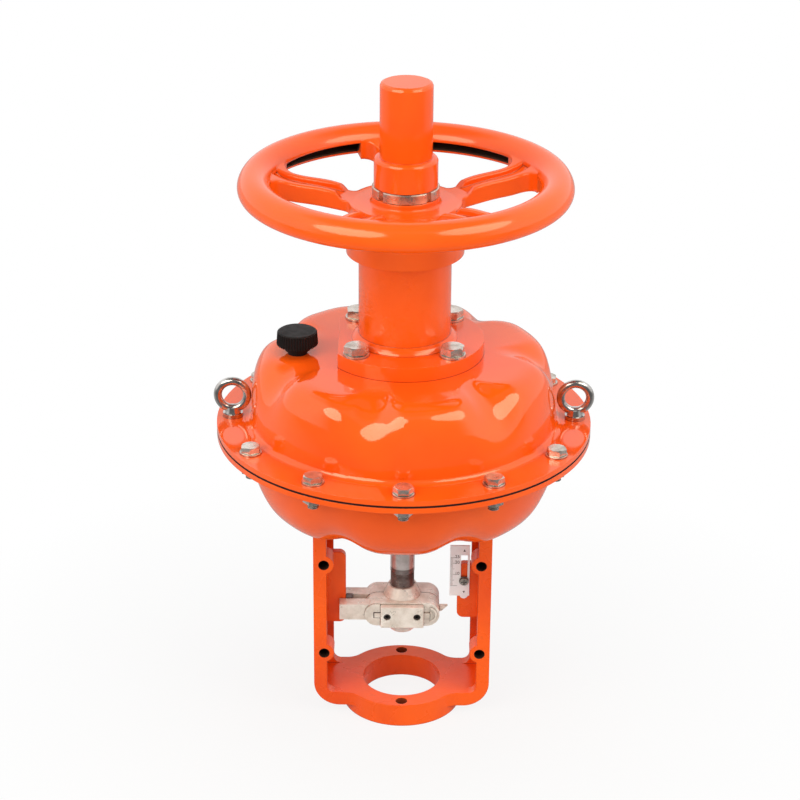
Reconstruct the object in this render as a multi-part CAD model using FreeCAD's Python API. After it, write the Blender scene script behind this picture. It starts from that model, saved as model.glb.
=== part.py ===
import FreeCAD, Part
import math
import os

V = FreeCAD.Vector

# Heights are millimetres above the seating face, the underside of the yoke ring.
# The stem axis is the Z axis, and the front of the yoke faces -Y.

# Yoke ring and lower beam
RING_R = 46.0
RING_BORE_R = 30.25
RING_H = 18.0
RING_HOLE_R = 4.5
RING_HOLE_Y = 38.5
BEAM_UNDER_Z = 7.0
RING_FILLET_R = 14.0

# Yoke legs: a channel open towards the stem, with wider strips front and back
LEG_X = 68.0
LEG_FRONT_Y = -27.0
LEG_BACK_Y = 27.0
LEG_WEB = 7.0
LEG_STRIP_DEPTH = 9.0
LEG_FRONT_STRIP = 10.0
LEG_BACK_STRIP = 14.0
STRIP_CORNER_R = 6.0
WEB_CORNER_R = 3.0
FOOT_CORNER_R = 20.0
HEAD_CORNER_R = 12.0
BOSS_INSET = 8.0
BOSS_X = LEG_X - BOSS_INSET
BOSS_LOW_Z = 53.4
BOSS_HIGH_Z = 130.6
BOSS_R = 7.6
BOSS_DEPTH = 16.0
BOSS_HOLE_R = 4.0
BOSS_HOLE_DEPTH = 14.0

# Bridge that carries the case
CASE_UNDER_Z = 173.5
BRIDGE_T = 11.0
BRIDGE_Z = CASE_UNDER_Z - BRIDGE_T
BRIDGE_FLANGE_R = 47.0
BRIDGE_BOLT_X = 35.0
BRIDGE_BOLT_Y = 17.0
BRIDGE_BOLT_DEPTH = 10.0

# Lugs inside the legs: the left one guides the clamp arm, the right one holds the scale
LUG_FRONT_Y = -6.0
LUG_BACK_Y = 0.0
LEFT_LUG_X = -43.7
LEFT_LUG_Z = (69.7, 130.7)
RIGHT_LUG_X = 42.5
RIGHT_LUG_Z = (74.5, 121.5)
LUG_CORNER_R = 5.0

# Case halves, flange stack and bolt circle
CASE_R = 140.0
BOLT_INSET = 11.8
BOLT_CIRCLE_R = CASE_R - BOLT_INSET
STATIONS = 12
EYE_STATIONS = (3, 9)
LOWER_PAN_H = 60.2
LOWER_FLANGE_T = 4.2
DIAPHRAGM_T = 1.6
UPPER_FLANGE_T = 4.0
UPPER_DOME_H = 54.5
FLANGE_LOW_Z = CASE_UNDER_Z + LOWER_PAN_H
DIAPHRAGM_LOW_Z = FLANGE_LOW_Z + LOWER_FLANGE_T
DIAPHRAGM_TOP_Z = DIAPHRAGM_LOW_Z + DIAPHRAGM_T
FLANGE_TOP_Z = DIAPHRAGM_TOP_Z + UPPER_FLANGE_T
PLATEAU_Z = FLANGE_TOP_Z + UPPER_DOME_H

# Lobed pressings: distance of the wall from the bolt circle, radius of the flat top at a lobe
# and in a valley,
# how square the lobe and the valley are in profile, and where the first lobe stands.
# The profile angles run from the wall to the flat top, closer together where the lobe turns level.
LOBES = 7
POINTS_PER_LOBE = 9
PROFILE_ANGLES = (0, 8, 16, 24, 32, 40, 48, 56, 63, 70, 76, 81, 85, 88, 90)
VALLEY_SHARPNESS = 3.0
UPPER_WALL_INSET = 14.2
UPPER_WALL_R = BOLT_CIRCLE_R - UPPER_WALL_INSET
UPPER_LOBE_R = 87.7
UPPER_VALLEY_R = 61.6
UPPER_LOBE_POWER = 3.16
UPPER_VALLEY_POWER = 2.5
UPPER_FIRST_LOBE_DEG = 12.3
UPPER_FILLET_R = 5.0
LOWER_WALL_INSET = 9.8
LOWER_WALL_R = BOLT_CIRCLE_R - LOWER_WALL_INSET
LOWER_LOBE_R = 77.7
LOWER_VALLEY_R = 51.4
LOWER_LOBE_POWER = 2.4
LOWER_VALLEY_POWER = 2.3
LOWER_FIRST_LOBE_DEG = -1.2
LOWER_FILLET_R = 1.5
FILLET_STEP = 0.1
FILLET_SINK = 0.3

# Stem, its guide and the cup that takes the spindle head
STEM_R = 9.4
RUNNING_GAP = 0.05
STEM_THREAD_RELIEF = 0.25
STEM_THREAD_R = STEM_R - STEM_THREAD_RELIEF
STEM_CLEARANCE = 2.6
STEM_CLEAR_R = STEM_R + STEM_CLEARANCE
GUIDE_AF = 34.0
GUIDE_H = 11.0
GUIDE_WALL = 5.6
GUIDE_COLLAR_R = STEM_R + GUIDE_WALL
TRAVEL = 25.0
TRAVEL_SPARE = 0.4

# Spindle with its flat head
SPINDLE_R = 8.0
SPINDLE_HEAD_STEP = 3.5
SPINDLE_HEAD_R = SPINDLE_R + SPINDLE_HEAD_STEP
SPINDLE_HEAD_H = 8.0
SPINDLE_END_EDGE = 1.5

# Cup round the spindle head, with room for the whole travel above and below it
CUP_SINK = 24.5
CUP_LOW_Z = PLATEAU_Z - CUP_SINK
CUP_FLOOR = 6.0
CUP_ROOF = 5.0
CUP_BORE_GAP = 1.0
CUP_BORE_R = SPINDLE_HEAD_R + CUP_BORE_GAP
CUP_WALL = 5.5
CUP_R = CUP_BORE_R + CUP_WALL
CUP_CLEARANCE = 2.0
CUP_CLEAR_R = CUP_R + CUP_CLEARANCE
CUP_ENTRY_GAP = 0.5
CUP_HEADROOM = 2.4
CUP_ROOM_H = SPINDLE_HEAD_H + 2 * TRAVEL + 2 * TRAVEL_SPARE
CUP_TOP_Z = CUP_LOW_Z + CUP_FLOOR + CUP_ROOM_H + CUP_ROOF
SPINDLE_HEAD_Z = CUP_LOW_Z + CUP_FLOOR + TRAVEL + TRAVEL_SPARE

# Drive nut
NUT_SHANK_R = 16.0
NUT_FLANGE_STEP = 7.0
NUT_FLANGE_R = NUT_SHANK_R + NUT_FLANGE_STEP
NUT_FLANGE_T = 6.0
NUT_END_GAP = 0.3
SLEEVE_GAP = 0.02

# Neck between the case and the handwheel
NECK_BASE_R = 59.0
NECK_BASE_T = 11.0
NECK_BASE_FLAT = 10.4
NECK_BASE_FLAT_X = NECK_BASE_FLAT - NECK_BASE_R
NECK_PIPE_R = 34.0
NECK_PIPE_WALL = 6.0
NECK_PIPE_BORE_R = NECK_PIPE_R - NECK_PIPE_WALL
NECK_TOP_STEP = 9.1
NECK_TOP_R = NECK_PIPE_R + NECK_TOP_STEP
NECK_TOP_LOW_Z = CUP_TOP_Z + TRAVEL + CUP_HEADROOM + NUT_FLANGE_T + NUT_END_GAP
NECK_TOP_T = 15.0
NECK_TOP_EDGE = 1.5
NECK_BOLT_INSET = 9.6
NECK_BOLT_CIRCLE_R = NECK_BASE_R - NECK_BOLT_INSET
NECK_BOLT_DEPTH = 12.0
NECK_BOLT_R = 5.0
NECK_BOLT_GAP = 0.4
NECK_BOLT_CLEAR_R = NECK_BOLT_R + NECK_BOLT_GAP
NECK_HEX_AF = 16.0
NECK_HEX_HEAD_H = 6.0
NECK_WASHER_R = 9.5
NECK_WASHER_T = 1.8
LOW_WELD_REACH = 5.0
LOW_WELD_H = 5.0
HIGH_WELD_R = 2.2

# Handwheel
HUB_R = 24.4
HUB_GAP = 1.5
HUB_H = 26.5
HUB_FOOT_FLARE = 4.0
HUB_ROOT_FLARE = 6.0
HUB_CORNER = 1.5
HUB_LOW_Z = NECK_TOP_LOW_Z + NECK_TOP_T + HUB_GAP
HUB_TOP_Z = HUB_LOW_Z + HUB_H
WEB_R = 38.0
WEB_RISE = 13.0
WEB_T = 8.0
WEB_LOW_Z = HUB_LOW_Z + WEB_RISE
WEB_TOP_Z = WEB_LOW_Z + WEB_T
SPOKES = 5
SPOKE_START_DEG = -29.5
# Upper face of the pressed web as (radius, rise above the web at the hub), out to the rim
WEB_TOP = (
    (WEB_R, 0.0),
    (51.0, 2.3),
    (70.0, 5.1),
    (86.0, 7.1),
    (93.0, 9.3),
    (99.0, 14.5),
)
# Underside of the pressed web as (radius, rise above its underside at the hub)
WEB_LOW = (
    (WEB_R, 0.0),
    (50.0, 1.9),
    (70.0, 4.3),
    (88.0, 6.1),
    (97.0, 8.9),
    (107.5, 12.1),
)
# Rim section as (radius, rise above the web's upper face), round outside and open to the hub
RIM_WALL = 2.9
RIM_OUTSIDE = (
    (97.0, 13.5),
    (98.5, 18.0),
    (102.5, 22.3),
    (109.0, 24.7),
    (115.5, 23.1),
    (119.8, 18.0),
    (121.2, 12.5),
    (119.5, 7.3),
    (114.5, 4.1),
    (107.0, 2.4),
)
RIM_CREST_R = RIM_OUTSIDE[3][0]
WINDOW_SIDE = 11.0
WINDOW_INSET = 3.0
WINDOW_INNER_R = WEB_R + WINDOW_INSET
WINDOW_OUTER_R = RIM_OUTSIDE[0][0]
WINDOW_INNER_FILLET = 6.0
WINDOW_OUTER_FILLET = 10.0
WINDOW_REACH_DOWN = 10.0
WINDOW_REACH_UP = 40.0
RIM_OPENING_SPARE = 5.0
WINDOW_LAP = 2.0
BEAD_W = 5.5
BEAD_H = 4.5
BEAD_START = 6.0
BEAD_START_R = WEB_R + BEAD_START
BEAD_SINK = 1.0
BEAD_END_SINK = 5.0
BEAD_EDGE_R = 1.6

# Slotted ring and spindle cap
LOCK_RING_H = 7.3
LOCK_RING_SLOT = 4.5
LOCK_RING_SLOT_DEPTH = 2.6
LOCK_RING_EDGE = 0.6
LOCK_RING_SLOTS = (-47, 43, 133, 223)
CAP_COLLAR_R = 23.2
CAP_COLLAR_H = 21.2
CAP_R = 19.1
CAP_BORE_GAP = 0.6
CAP_BORE_R = NUT_SHANK_R + CAP_BORE_GAP
CAP_TUBE_BORE_R = 15.5
CAP_WALL_TOP = 5.0
CAP_HEADROOM = 5.0
NUT_OUT = 12.7
NUT_TOP_Z = HUB_TOP_Z + LOCK_RING_H + NUT_OUT
SPINDLE_OUT = 29.0
SPINDLE_TOP_Z = NUT_TOP_Z + SPINDLE_OUT
CAP_TOP_Z = SPINDLE_TOP_Z + TRAVEL + CAP_HEADROOM + CAP_WALL_TOP
CAP_FOOT_EDGE = 0.4
CAP_STEP = 0.3
CAP_ROOM_SPARE = 0.5
CAP_COLLAR_EDGE = 2.2
CAP_TOP_EDGE = 2.6
EDGE_ROUND_SHARE = 0.31

# Stem clamp
CLAMP_Z = 82.7
CLAMP_R = 10.1
CLAMP_END_X = 18.8
CLAMP_FRONT_Y = -17.0
CLAMP_BACK_Y = 16.0
CLAMP_GAP = 0.8
CONE_LOW_R = 14.8
CONE_LIP = 1.5
CONE_TOP_R = STEM_R + CONE_LIP
CONE_RISE = 18.3
CONE_TOP_Z = CLAMP_Z + CONE_RISE
THREAD_START = 0.5
THREAD_H = 12.0
STEM_THREAD_Z = CONE_TOP_Z + THREAD_H
ARM_LAP = 4.7
ARM_END_X = LEFT_LUG_X - ARM_LAP
ARM_Z = (CLAMP_Z - 5.3, CLAMP_Z + 7.9)
ARM_GAP = 0.5
ARM_FRONT_INSET = 0.6
REAR_ARM_DEPTH = 10.5
SOCKET_R = 7.5
SOCKET_DROP = 0.7
SOCKET_TOP_Z = CLAMP_Z - SOCKET_DROP
STEM_SEAT_GAP = 2.4
STEM_LOW_Z = SOCKET_TOP_Z + STEM_SEAT_GAP
BLOCK_X = 16.6
BLOCK_Z = (CLAMP_Z - 9.5, CLAMP_Z + 8.7)
BLOCK_T = 5.0
BLOCK_TAB = 4.8
BLOCK_TAB_X = BLOCK_X + BLOCK_TAB
BLOCK_TAB_Z = (CLAMP_Z - 2.1, CLAMP_Z + 1.7)
BLOCK_TAB_T = 1.8
BLOCK_SCREW_X = 11.5
BLOCK_SCREW_R = 2.7
BLOCK_SCREW_RECESS = 1.2
BLOCK_SCREW_GAP = 0.1
BLOCK_SOCKET_AF = 3.0
BLOCK_SOCKET_DEPTH = 2.4
BLOCK_EDGE_R = 0.8
END_DISC_R = 7.0
END_DISC_T = 1.0
END_DISC_OFFSET = 1.2
END_DISC_GROOVE = (END_DISC_R - 1.6, END_DISC_R - 3.2)
END_DISC_GROOVE_DEPTH = 0.5
POINTER_TIP_X = 35.2
POINTER_Z = (CLAMP_Z - 1.3, CLAMP_Z + 3.9)
POINTER_Y = (-9.0, -7.0)
POINTER_ROOT = 4.0
POINTER_BEND = 1.5
POINTER_TIP_H = 0.6
CONNECTOR_R = 10.2
CONNECTOR_H = 10.6
CONNECTOR_LOW_Z = CLAMP_Z - CLAMP_R - CONNECTOR_H
CONNECTOR_BORE_R = 6.0
CONNECTOR_EDGE = 1.4
CONNECTOR_GAP = 0.1
CONNECTOR_END_GAP = 0.5

# Travel scale
SCALE_X = (36.6, 51.8)
SCALE_Z = (94.0, 137.8)
SCALE_T = 1.0
SCALE_SLOT_X = (45.0, 50.2)
SCALE_SLOT_Z = (103.0, 129.4)
SCALE_SCREW_Z = 107.2
SCALE_TONGUE_R = 3.2
SCALE_TONGUE_RISE = 0.8
SCREW_ROD_R = 1.55
SCREW_ROD_DEPTH = 4.0
SCREW_GAP = 0.05
SCREW_HEAD_R = 3.0
SCREW_HEAD_T = 2.0
SCREW_WASHER_R = 3.9
SCREW_WASHER_T = 0.6
SCREW_RECESS_R = 2.2
SCREW_RECESS_DEPTH = 1.2
SCREW_RECESS_W = 1.0

# Fasteners
BOLT_R = 4.0
BOLT_GAP = 0.4
BOLT_CLEAR_R = BOLT_R + BOLT_GAP
BLIND_SPARE = 2.0
HEX_AF = 13.0
HEX_HEAD_H = 4.8
HEX_NUT_H = 5.5
HEX_TOP_SHARE = 0.95
HEX_CHAMFER_DEG = 30.0
WASHER_R = 8.0
WASHER_GAP = 0.2
WASHER_T = 1.2
THREAD_OUT = 4.4
THREAD_PITCH = 1.25
THREAD_DEPTH = 0.45
EYE_MEAN_R = 11.0
EYE_WIRE_R = 3.1
EYE_COLLAR_R = 7.5
EYE_COLLAR_H = 3.0
EYE_CENTRE_H = 17.0
EYE_FOOT_LOW_R = 6.0
EYE_FOOT_TOP_R = 4.7

# Vent plug
VENT_X = -79.0
VENT_Y = -6.5
VENT_HOLE_R = 4.0
VENT_HOLE_DEPTH = 20.0
VENT_STUB_H = 8.0
VENT_FOOT_R = 7.2
VENT_FOOT_H = 3.0
VENT_BODY_R = 9.4
VENT_BODY_H = 8.0
VENT_CAP_R = 15.4
VENT_CAP_TOP_R = 14.75
VENT_CAP_LOW_H = 7.5
VENT_CAP_H = 9.5
VENT_CAP_EDGE = 0.7
VENT_TEETH = 44
VENT_TOOTH_H = 0.7

# Air port at the back of the lower case
PORT_INSET = 16.0
PORT_DROP = 25.7
PORT_Y = CASE_R - PORT_INSET
PORT_Z = FLANGE_LOW_Z - PORT_DROP
PORT_BOSS_R = 11.0
PORT_R = 6.6
PORT_DEPTH = 13.0
PORT_ROOT_Y = 96.0


def cylinder(radius, low, high, x=0.0, y=0.0):
    """Upright cylinder between two heights."""
    return Part.makeCylinder(radius, high - low, V(x, y, low))


def tube(outer, inner, low, high, x=0.0, y=0.0):
    """Upright tube between two heights."""
    return cylinder(outer, low, high, x, y).cut(cylinder(inner, low - 1, high + 1, x, y))


def block(x_pair, y_pair, z_pair):
    """Box between pairs of limits."""
    size = (x_pair[1] - x_pair[0], y_pair[1] - y_pair[0], z_pair[1] - z_pair[0])
    return Part.makeBox(size[0], size[1], size[2], V(x_pair[0], y_pair[0], z_pair[0]))


def front_rod(radius, y_pair, x, z):
    """Cylinder along Y between two depths."""
    return Part.makeCylinder(radius, y_pair[1] - y_pair[0], V(x, y_pair[0], z), V(0, 1, 0))


def revolve(points):
    """Solid of revolution about Z from (radius, height) corners."""
    corners = [V(r, 0, z) for r, z in points]
    outline = Part.makePolygon(corners + [corners[0]])
    return Part.Face(outline).revolve(V(0, 0, 0), V(0, 0, 1), 360)


def smooth_line(points):
    """Edge through (radius, height) points: straight through two, smooth through more."""
    corners = [V(r, 0, z) for r, z in points]
    if len(corners) == 2:
        return Part.makeLine(corners[0], corners[1])
    curve = Part.BSplineCurve()
    curve.interpolate(corners)
    return curve.toShape()


def revolve_smooth(chains):
    """Solid of revolution about Z from chains of points that meet end to end."""
    wire = Part.Wire([smooth_line(points) for points in chains])
    return Part.Face(wire).revolve(V(0, 0, 0), V(0, 0, 1), 360)


def corner_chain(points):
    """Straight chains between neighbouring (radius, height) corners."""
    return [(points[k], points[k + 1]) for k in range(len(points) - 1)]


def hexagon(across_flats, low, height, x, y, turn=0.0):
    """Hexagonal prism with its corners chamfered at the top."""
    corner_r = across_flats / math.sqrt(3)
    corners = []
    for k in range(6):
        angle = math.radians(turn + 60 * k)
        corners.append(V(x + corner_r * math.cos(angle), y + corner_r * math.sin(angle), low))
    prism = Part.Face(Part.makePolygon(corners + [corners[0]])).extrude(V(0, 0, height))
    top_r = 0.5 * across_flats * HEX_TOP_SHARE
    foot_r = top_r + height / math.tan(math.radians(HEX_CHAMFER_DEG))
    return prism.common(Part.makeCone(foot_r, top_r, height, V(x, y, low)))


def polar(radius, degrees):
    """Point at a radius and an angle, measured from the front towards +X."""
    angle = math.radians(degrees)
    return (radius * math.sin(angle), -radius * math.cos(angle))


def stations(skip):
    """Angles of the flange stations, with or without those of the lifting eyes."""
    step = 360.0 / STATIONS
    return [k * step for k in range(STATIONS) if (k in EYE_STATIONS) == skip]


def group(shapes):
    """One shape that holds several separate solids."""
    return Part.makeCompound(shapes)


def export(name, shape):
    """Write one node."""
    shape.exportStep("parts/" + name + ".step")


def lobed_outline(height, lobe_r, valley_r, first_lobe):
    """Closed wavy outline at one height: wide lobes with narrower valleys between them."""
    count = LOBES * POINTS_PER_LOBE
    points = []
    for k in range(count):
        degrees = 360.0 * k / count
        swing = 0.5 - 0.5 * math.cos(math.radians(LOBES * (degrees - first_lobe)))
        blend = 1.0 - swing ** VALLEY_SHARPNESS
        x, y = polar(valley_r + (lobe_r - valley_r) * blend, degrees)
        points.append(V(x, y, height))
    curve = Part.BSplineCurve()
    curve.interpolate(Points=points, PeriodicFlag=True)
    return Part.Wire(curve.toShape())


def profile_radius(share, wall_r, flat_r, power):
    """Radius of a pressing at a share of its height, from its wall in to its flat top."""
    return flat_r + (wall_r - flat_r) * max(0.0, 1.0 - share ** power) ** (1.0 / power)


def lobed_body(wall_r, lobe, valley, first_lobe, datum, end):
    """Lobed pressing from the datum height to the end height, as one smooth surface.

    The lobe and the valley are given as (radius of the flat top, power of the profile).
    """
    outlines = []
    for degrees in PROFILE_ANGLES:
        share = math.sin(math.radians(degrees)) ** (2.0 / 3.0)
        lobe_r = profile_radius(share, wall_r, lobe[0], lobe[1])
        valley_r = profile_radius(share, wall_r, valley[0], valley[1])
        height = datum + (end - datum) * share
        outlines.append(lobed_outline(height, lobe_r, valley_r, first_lobe))
    return Part.makeLoft(outlines, True, False)


def wall_fillet(wall_r, radius, datum, direction):
    """Concave ring in the corner between a flange and the wall of a pressing."""
    end = datum + direction * radius
    centre_r = wall_r + radius - FILLET_SINK
    ring = tube(centre_r, wall_r - radius, min(datum, end), max(datum, end))
    centre = V(0, 0, end + direction * FILLET_STEP)
    return ring.cut(Part.makeTorus(centre_r, radius, centre))


def flange_holes(low, high):
    """Clearance holes on the flange bolt circle."""
    holes = []
    for degrees in stations(False) + stations(True):
        x, y = polar(BOLT_CIRCLE_R, degrees)
        holes.append(cylinder(BOLT_CLEAR_R, low - 1, high + 1, x, y))
    return holes


def make_upper_case():
    """Upper case: lobed dome, flange, spindle opening and vent hole."""
    lobe = (UPPER_LOBE_R, UPPER_LOBE_POWER)
    valley = (UPPER_VALLEY_R, UPPER_VALLEY_POWER)
    dome = lobed_body(UPPER_WALL_R, lobe, valley, UPPER_FIRST_LOBE_DEG, FLANGE_TOP_Z, PLATEAU_Z)
    fillet = wall_fillet(UPPER_WALL_R, UPPER_FILLET_R, FLANGE_TOP_Z, 1)
    flange = cylinder(CASE_R, DIAPHRAGM_TOP_Z, FLANGE_TOP_Z)
    body = flange.fuse(dome).fuse(fillet)
    cuts = flange_holes(DIAPHRAGM_TOP_Z, FLANGE_TOP_Z)
    cuts.append(cylinder(STEM_CLEAR_R, DIAPHRAGM_TOP_Z - 1, CUP_LOW_Z))
    cuts.append(cylinder(CUP_CLEAR_R, CUP_LOW_Z - CUP_CLEARANCE, PLATEAU_Z + 1))
    vent_low = PLATEAU_Z - VENT_HOLE_DEPTH
    cuts.append(cylinder(VENT_HOLE_R, vent_low, PLATEAU_Z + 1, VENT_X, VENT_Y))
    bolt_low = PLATEAU_Z - NECK_BOLT_DEPTH - BLIND_SPARE
    for x, y in neck_bolt_points():
        cuts.append(cylinder(NECK_BOLT_CLEAR_R, bolt_low, PLATEAU_Z + 1, x, y))
    return body.cut(cuts)


def make_lower_case():
    """Lower case: lobed pan, flange, stem opening and air port at the back."""
    lobe = (LOWER_LOBE_R, LOWER_LOBE_POWER)
    valley = (LOWER_VALLEY_R, LOWER_VALLEY_POWER)
    pan = lobed_body(LOWER_WALL_R, lobe, valley, LOWER_FIRST_LOBE_DEG, FLANGE_LOW_Z, CASE_UNDER_Z)
    fillet = wall_fillet(LOWER_WALL_R, LOWER_FILLET_R, FLANGE_LOW_Z, -1)
    flange = cylinder(CASE_R, FLANGE_LOW_Z, DIAPHRAGM_LOW_Z)
    boss = front_rod(PORT_BOSS_R, (PORT_ROOT_Y, PORT_Y), 0.0, PORT_Z)
    body = flange.fuse(pan).fuse(fillet).fuse(boss)
    cuts = flange_holes(FLANGE_LOW_Z, DIAPHRAGM_LOW_Z)
    cuts.append(cylinder(STEM_CLEAR_R, CASE_UNDER_Z - 1, DIAPHRAGM_LOW_Z + 1))
    cuts.append(front_rod(PORT_R, (PORT_Y - PORT_DEPTH, PORT_Y + 1), 0.0, PORT_Z))
    bolt_top = CASE_UNDER_Z + BRIDGE_BOLT_DEPTH + BLIND_SPARE
    for x, y in bridge_bolt_points():
        cuts.append(cylinder(BOLT_CLEAR_R, CASE_UNDER_Z - 1, bolt_top, x, y))
    return body.cut(cuts)


def make_diaphragm():
    """Rubber diaphragm, flush with the flanges and pierced for the bolts and the stem."""
    disc = cylinder(CASE_R, DIAPHRAGM_LOW_Z, DIAPHRAGM_TOP_Z)
    cuts = flange_holes(DIAPHRAGM_LOW_Z, DIAPHRAGM_TOP_Z)
    cuts.append(cylinder(STEM_CLEAR_R, DIAPHRAGM_LOW_Z - 1, DIAPHRAGM_TOP_Z + 1))
    return disc.cut(cuts)


def thread_end(x, y, high, length, radius):
    """Bolt end with real ridges, below a given height."""
    rod = cylinder(radius, high - length, high, x, y)
    count = int(length / THREAD_PITCH)
    grooves = []
    for k in range(count):
        low = high - length + (k + 0.4) * THREAD_PITCH
        outer = radius + 1
        grooves.append(tube(outer, radius - THREAD_DEPTH, low, low + 0.5 * THREAD_PITCH, x, y))
    return rod.cut(grooves)


def hex_bolt(x, y, seat, shank_end, turn, size):
    """Hexagon bolt on a seat; its size is (across flats, head height, shank radius)."""
    head = hexagon(size[0], seat, size[1], x, y, turn)
    return head.fuse(cylinder(size[2], shank_end, seat, x, y)).removeSplitter()


def make_flange_bolts():
    """Ten hexagon bolts through both flanges."""
    bolts = []
    seat = FLANGE_TOP_Z + WASHER_T
    nut_low = FLANGE_LOW_Z - HEX_NUT_H
    for degrees in stations(False):
        x, y = polar(BOLT_CIRCLE_R, degrees)
        bolt = hex_bolt(x, y, seat, nut_low, degrees * 1.7, (HEX_AF, HEX_HEAD_H, BOLT_R))
        bolts.append(bolt.fuse(thread_end(x, y, nut_low, THREAD_OUT, BOLT_R)))
    return group(bolts)


def make_flange_washers():
    """Washers under the heads of the flange bolts."""
    washers = []
    for degrees in stations(False):
        x, y = polar(BOLT_CIRCLE_R, degrees)
        high = FLANGE_TOP_Z + WASHER_T
        washers.append(tube(WASHER_R, BOLT_R + WASHER_GAP, FLANGE_TOP_Z, high, x, y))
    return group(washers)


def make_flange_nuts():
    """Nuts below the lower flange, one at every station."""
    nuts = []
    for degrees in stations(False) + stations(True):
        x, y = polar(BOLT_CIRCLE_R, degrees)
        nut = hexagon(HEX_AF, FLANGE_LOW_Z - HEX_NUT_H, HEX_NUT_H, x, y, degrees * 1.3)
        nuts.append(nut.cut(cylinder(BOLT_R + RUNNING_GAP, 0, FLANGE_TOP_Z, x, y)))
    return group(nuts)


def make_lifting_eyes():
    """Two lifting eyes, each a ring on a tapered foot, a collar and a threaded shank."""
    eyes = []
    for degrees in stations(True):
        x, y = polar(BOLT_CIRCLE_R, degrees)
        centre = V(x, y, FLANGE_TOP_Z + EYE_CENTRE_H)
        ring = Part.makeTorus(EYE_MEAN_R, EYE_WIRE_R, centre, V(0, 1, 0))
        collar = cylinder(EYE_COLLAR_R, FLANGE_TOP_Z, FLANGE_TOP_Z + EYE_COLLAR_H, x, y)
        foot_z = FLANGE_TOP_Z + EYE_COLLAR_H
        foot_h = EYE_CENTRE_H - EYE_MEAN_R - EYE_COLLAR_H + 0.5 * EYE_WIRE_R
        foot = Part.makeCone(EYE_FOOT_LOW_R, EYE_FOOT_TOP_R, foot_h, V(x, y, foot_z))
        nut_low = FLANGE_LOW_Z - HEX_NUT_H
        shank = cylinder(BOLT_R, nut_low, FLANGE_TOP_Z, x, y)
        end = thread_end(x, y, nut_low, THREAD_OUT, BOLT_R)
        hole = front_rod(EYE_MEAN_R - EYE_WIRE_R, (y - 8, y + 8), x, centre.z)
        eyes.append(collar.fuse([foot.cut(hole), ring, shank, end]))
    return group(eyes)


def neck_bolt_points():
    """Centres of the four neck bolts."""
    return [polar(NECK_BOLT_CIRCLE_R, 45 + 90 * k) for k in range(4)]


def bridge_bolt_points():
    """Centres of the four bolts that hold the yoke to the case."""
    signs = ((-1, -1), (1, -1), (1, 1), (-1, 1))
    return [(sx * BRIDGE_BOLT_X, sy * BRIDGE_BOLT_Y) for sx, sy in signs]


def make_neck():
    """Neck: base disc with one flat, pipe, top disc and the weld beads between them."""
    base_top = PLATEAU_Z + NECK_BASE_T
    top = NECK_TOP_LOW_Z + NECK_TOP_T
    base = cylinder(NECK_BASE_R, PLATEAU_Z, base_top)
    reach = NECK_BASE_R + 1
    keep = block((NECK_BASE_FLAT_X, reach), (-reach, reach), (PLATEAU_Z, base_top))
    base = base.common(keep)
    pipe = cylinder(NECK_PIPE_R, base_top, NECK_TOP_LOW_Z)
    disc = revolve((
        (0, NECK_TOP_LOW_Z),
        (NECK_TOP_R, NECK_TOP_LOW_Z),
        (NECK_TOP_R, top - NECK_TOP_EDGE),
        (NECK_TOP_R - NECK_TOP_EDGE, top),
        (0, top),
    ))
    low_weld = revolve((
        (NECK_PIPE_R - 1, base_top - 1),
        (NECK_PIPE_R + LOW_WELD_REACH, base_top - 1),
        (NECK_PIPE_R + LOW_WELD_REACH, base_top + 0.1 * LOW_WELD_H),
        (NECK_PIPE_R + 0.84 * LOW_WELD_REACH, base_top + 0.36 * LOW_WELD_H),
        (NECK_PIPE_R + 0.54 * LOW_WELD_REACH, base_top + 0.72 * LOW_WELD_H),
        (NECK_PIPE_R + 0.15 * LOW_WELD_REACH, base_top + LOW_WELD_H),
        (NECK_PIPE_R - 1, base_top + LOW_WELD_H),
    ))
    high_weld = Part.makeTorus(NECK_PIPE_R, HIGH_WELD_R, V(0, 0, NECK_TOP_LOW_Z))
    body = base.fuse([pipe, disc, low_weld, high_weld])
    cuts = [cylinder(NECK_PIPE_BORE_R, PLATEAU_Z - 1, NECK_TOP_LOW_Z)]
    cuts.append(cylinder(NUT_SHANK_R + RUNNING_GAP, NECK_TOP_LOW_Z - 1, top + 1))
    for x, y in neck_bolt_points():
        cuts.append(cylinder(NECK_BOLT_CLEAR_R, PLATEAU_Z - 1, base_top + 1, x, y))
    return body.cut(cuts)


def make_neck_bolts():
    """Four hexagon bolts that hold the neck to the upper case."""
    seat = PLATEAU_Z + NECK_BASE_T + NECK_WASHER_T
    end = PLATEAU_Z - NECK_BOLT_DEPTH
    size = (NECK_HEX_AF, NECK_HEX_HEAD_H, NECK_BOLT_R)
    bolts = []
    for index, point in enumerate(neck_bolt_points()):
        bolts.append(hex_bolt(point[0], point[1], seat, end, 20 + 37 * index, size))
    return group(bolts)


def make_neck_washers():
    """Washers under the heads of the neck bolts."""
    low = PLATEAU_Z + NECK_BASE_T
    washers = []
    for x, y in neck_bolt_points():
        bore_r = NECK_BOLT_R + WASHER_GAP
        washers.append(tube(NECK_WASHER_R, bore_r, low, low + NECK_WASHER_T, x, y))
    return group(washers)


def toothed_outline(radius, height):
    """Zigzag outline round the vent cap."""
    points = []
    for k in range(2 * VENT_TEETH):
        x, y = polar(radius - VENT_TOOTH_H * (k % 2), 180.0 * k / VENT_TEETH)
        points.append(V(x, y, height))
    return Part.makePolygon(points + [points[0]])


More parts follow.
